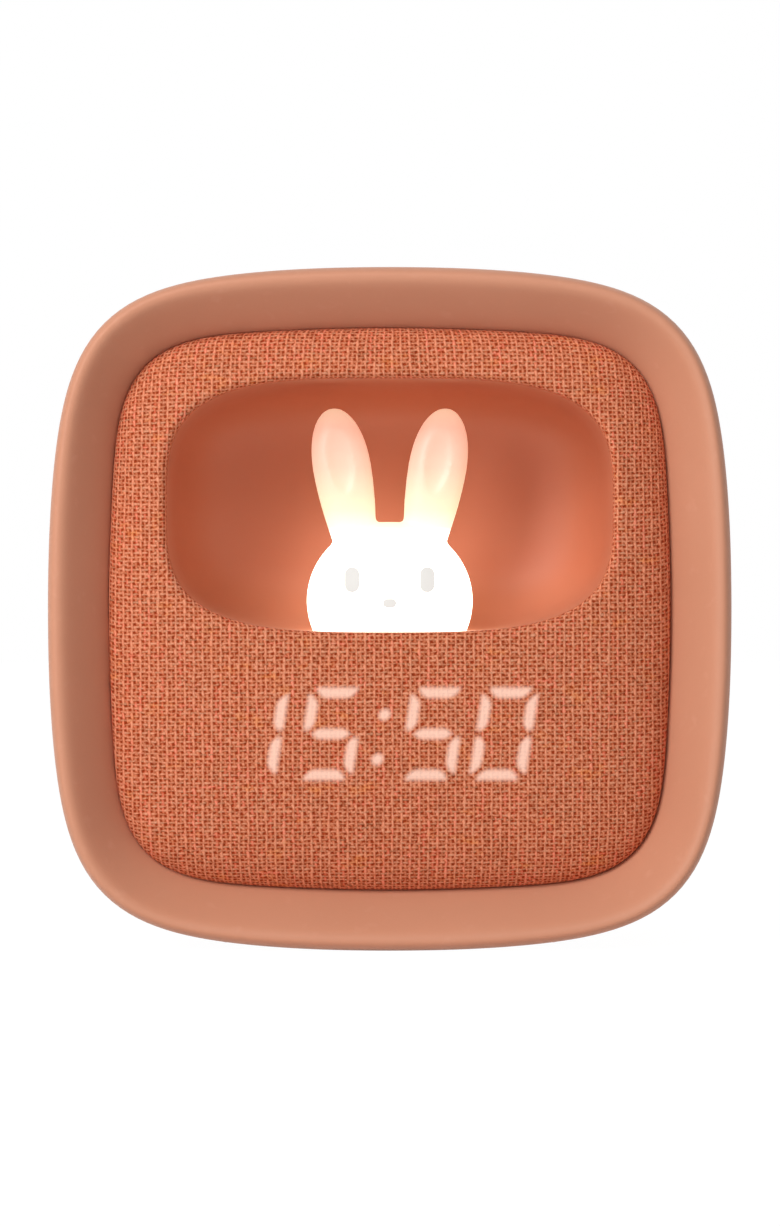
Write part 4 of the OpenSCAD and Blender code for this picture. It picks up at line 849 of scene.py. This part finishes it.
def inner_finishes():
    """Every solid that stays gets a finish on its own material slots."""
    steel = metal("screw_steel", (0.58, 0.59, 0.60), 0.32)
    dark = moulded("dark_moulded_plastic", (0.030, 0.030, 0.032), rough=0.5, grain=0.5,
                   depth=0.04, shade=0.2)
    kept = {
        "front_panel": moulded("panel_plastic", (0.46, 0.13, 0.06), rough=0.5, grain=0.5),
        "panel_screws": steel, "light_board_screws": steel, "display_screws": steel,
        "board_screws": steel,
        "mid_housing": moulded("housing_plastic", (0.070, 0.070, 0.073), rough=0.55, grain=0.6,
                               depth=0.04, shade=0.15),
        "light_board": circuit_board("white_lacquered_board", (0.80, 0.84, 0.82),
                                     (0.62, 0.66, 0.60)),
        "display_board": circuit_board("green_lacquered_board", (0.028, 0.145, 0.070),
                                       (0.06, 0.26, 0.12)),
        "light_leds": moulded("lamp_resin", (1.0, 0.86, 0.50), rough=0.25, grain=0.2, depth=0.005,
                              emission_color=(1.0, 0.80, 0.50), emission_strength=1.5),
        "display_leds": moulded("display_lamp_resin", (1.0, 0.80, 0.42), rough=0.25, grain=0.2,
                                depth=0.005),
        "display_film": moulded("diffusing_film", (0.86, 0.80, 0.75), rough=0.45, grain=0.2,
                                depth=0.005),
        "display_housing": dark,
        "lit_segments": moulded("lit_bar_resin", (0.95, 0.66, 0.52), rough=0.35, grain=0.2,
                                depth=0.005, emission_color=(0.9, 0.55, 0.40),
                                emission_strength=1.0),
        "unlit_segments": moulded("unlit_bar_resin", (0.80, 0.74, 0.70), rough=0.35, grain=0.2,
                                  depth=0.005),
        "display_ribbon": moulded("ribbon_cable", (0.78, 0.82, 0.85), rough=0.4, grain=0.4,
                                  depth=0.01),
        "microcontroller": dark, "key_switches": dark, "usb_tongue": dark,
        "clock_crystal": metal("crystal_can", (0.62, 0.63, 0.65), 0.25),
        "charger_parts": moulded("chip_ceramic", (0.095, 0.090, 0.088), rough=0.4, grain=0.3,
                                 shade=0.2),
        "wire_plugs": moulded("plug_nylon", (0.80, 0.77, 0.70), rough=0.45, grain=0.4),
        "ribbon_sockets": moulded("socket_nylon", (0.72, 0.69, 0.62), rough=0.45, grain=0.4),
        "battery_cell": metal("cell_foil", (0.52, 0.54, 0.57), 0.36, (1.0, 0.2, 1.0)),
        "battery_lead_red": moulded("red_wire_jacket", (0.46, 0.020, 0.012), rough=0.4, grain=0.3),
        "battery_lead_black": moulded("black_wire_jacket", (0.012, 0.012, 0.013), rough=0.4,
                                      grain=0.3),
        "light_leads": moulded("white_wire_jacket", (0.74, 0.76, 0.79), rough=0.4, grain=0.3),
        "speaker_leads": moulded("dark_red_wire_jacket", (0.26, 0.014, 0.010), rough=0.4,
                                 grain=0.3),
        "speaker_frame": metal("speaker_steel", (0.10, 0.105, 0.115), 0.42),
        "speaker_magnet": metal("magnet_plate", (0.22, 0.23, 0.25), 0.35),
        "speaker_cone": moulded("cone_paper", (0.80, 0.76, 0.68), rough=0.85, grain=0.8,
                                depth=0.08),
        "slide_switch_body": metal("switch_shell", (0.60, 0.61, 0.63), 0.28),
    }
    kept["main_board"] = kept["display_board"]
    for name in ("time", "alarm", "minus", "plus", "light"):
        kept[name + "_plunger"] = dark
    for node, material in kept.items():
        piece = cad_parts[node]
        piece.data.materials.clear()
        piece.data.materials.append(material)
    foam = moulded("open_cell_foam", (0.16, 0.16, 0.17), rough=0.95, grain=0.7, depth=0.12,
                   shade=0.25)
    for node, radius in (("battery_pad", 0.25), ("speaker_gasket", 0.2)):
        finish_piece(rounded(node, radius, 3), foam, "foam", node)


# ---- Stage ----

def area_lamp(name, place, aim, size, power):
    data = bpy.data.lights.new(name, "AREA")
    data.shape, data.size, data.energy = "DISK", size, power
    lamp = bpy.data.objects.new(name, data)
    bpy.context.scene.collection.objects.link(lamp)
    lamp.location = place
    lamp.rotation_euler = (Vector(aim) - Vector(place)).to_track_quat("-Z", "Y").to_euler()


def seen_white(tree, share):
    """How much of what the camera, a mirror or glass sees is plain white."""
    path = tree.nodes.new("ShaderNodeLightPath")
    whole = path.outputs["Is Camera Ray"]
    for name in ("Is Glossy Ray", "Is Transmission Ray"):
        most = tree.nodes.new("ShaderNodeMath")
        most.operation = "MAXIMUM"
        tree.links.new(whole, most.inputs[0])
        tree.links.new(path.outputs[name], most.inputs[1])
        whole = most.outputs[0]
    part = tree.nodes.new("ShaderNodeMath")
    part.operation = "MULTIPLY"
    tree.links.new(whole, part.inputs[0])
    part.inputs[1].default_value = share
    return part.outputs[0]


# strength of the room's light from all round, and what the right and the back add to it
ROOM, ROOM_RIGHT, ROOM_BEHIND = 0.272, 0.12, 0.32


def stage():
    bpy.ops.mesh.primitive_plane_add(size=6)
    floor = bpy.context.object
    floor.name = "floor"
    material = bpy.data.materials.new("pale_floor")
    material.use_nodes = True
    tree = material.node_tree
    tree.nodes.clear()
    matt = tree.nodes.new("ShaderNodeBsdfDiffuse")
    matt.inputs["Color"].default_value = (0.86, 0.86, 0.86, 1)
    white = tree.nodes.new("ShaderNodeEmission")
    white.inputs["Color"].default_value = (1, 1, 1, 1)
    white.inputs["Strength"].default_value = 1.06
    mixed = tree.nodes.new("ShaderNodeMixShader")
    tree.links.new(seen_white(tree, 0.93), mixed.inputs[0])
    tree.links.new(matt.outputs[0], mixed.inputs[1])
    tree.links.new(white.outputs[0], mixed.inputs[2])
    out = tree.nodes.new("ShaderNodeOutputMaterial")
    tree.links.new(mixed.outputs[0], out.inputs["Surface"])
    floor.data.materials.append(material)

    world = bpy.data.worlds.new("soft_room")
    bpy.context.scene.world = world
    world.use_nodes = True
    tree = world.node_tree
    tree.nodes.clear()
    # plain light from all round, and more of it from the pale walls behind and to the right
    way = tree.nodes.new("ShaderNodeTexCoord")
    split = tree.nodes.new("ShaderNodeSeparateXYZ")
    tree.links.new(way.outputs["Generated"], split.inputs[0])
    last = ROOM
    for side, share in (("X", ROOM_RIGHT), ("Y", ROOM_BEHIND)):
        part = split.outputs[side]
        for operation, value in (("MAXIMUM", 0.0), ("MULTIPLY", share), ("ADD", last)):
            step = tree.nodes.new("ShaderNodeMath")
            step.operation = operation
            tree.links.new(part, step.inputs[0])
            if isinstance(value, float):
                step.inputs[1].default_value = value
            else:
                tree.links.new(value, step.inputs[1])
            part = step.outputs[0]
        last = part
    room = tree.nodes.new("ShaderNodeBackground")
    room.inputs["Color"].default_value = (1, 1, 1, 1)
    tree.links.new(last, room.inputs["Strength"])
    backdrop = tree.nodes.new("ShaderNodeBackground")
    backdrop.inputs["Color"].default_value = (1, 1, 1, 1)
    mixed = tree.nodes.new("ShaderNodeMixShader")
    tree.links.new(seen_white(tree, 1.0), mixed.inputs[0])
    tree.links.new(room.outputs[0], mixed.inputs[1])
    tree.links.new(backdrop.outputs[0], mixed.inputs[2])
    out = tree.nodes.new("ShaderNodeOutputWorld")
    tree.links.new(mixed.outputs[0], out.inputs["Surface"])

    for name, place, power in (("left_lamp", (-0.542, -0.718, 0.354), 3.34),
                               ("high_lamp", (-0.325, -0.697, 0.608), 3.28)):
        area_lamp(name, place, (0, 0, 0.05), 0.35, power)

    data = bpy.data.cameras.new("camera")
    data.lens, data.sensor_width = 105.0, 36.0
    camera = bpy.data.objects.new("camera", data)
    bpy.context.scene.collection.objects.link(camera)
    camera.location = (0.00004, -0.551, 0.04939)
    camera.rotation_euler = (math.pi / 2, 0, 0)
    bpy.context.scene.camera = camera
    bpy.context.scene.view_settings.view_transform = "Standard"


sleeve()
cloth_front()
niche_bowl()
rabbit()
back()
inner_finishes()
stage()
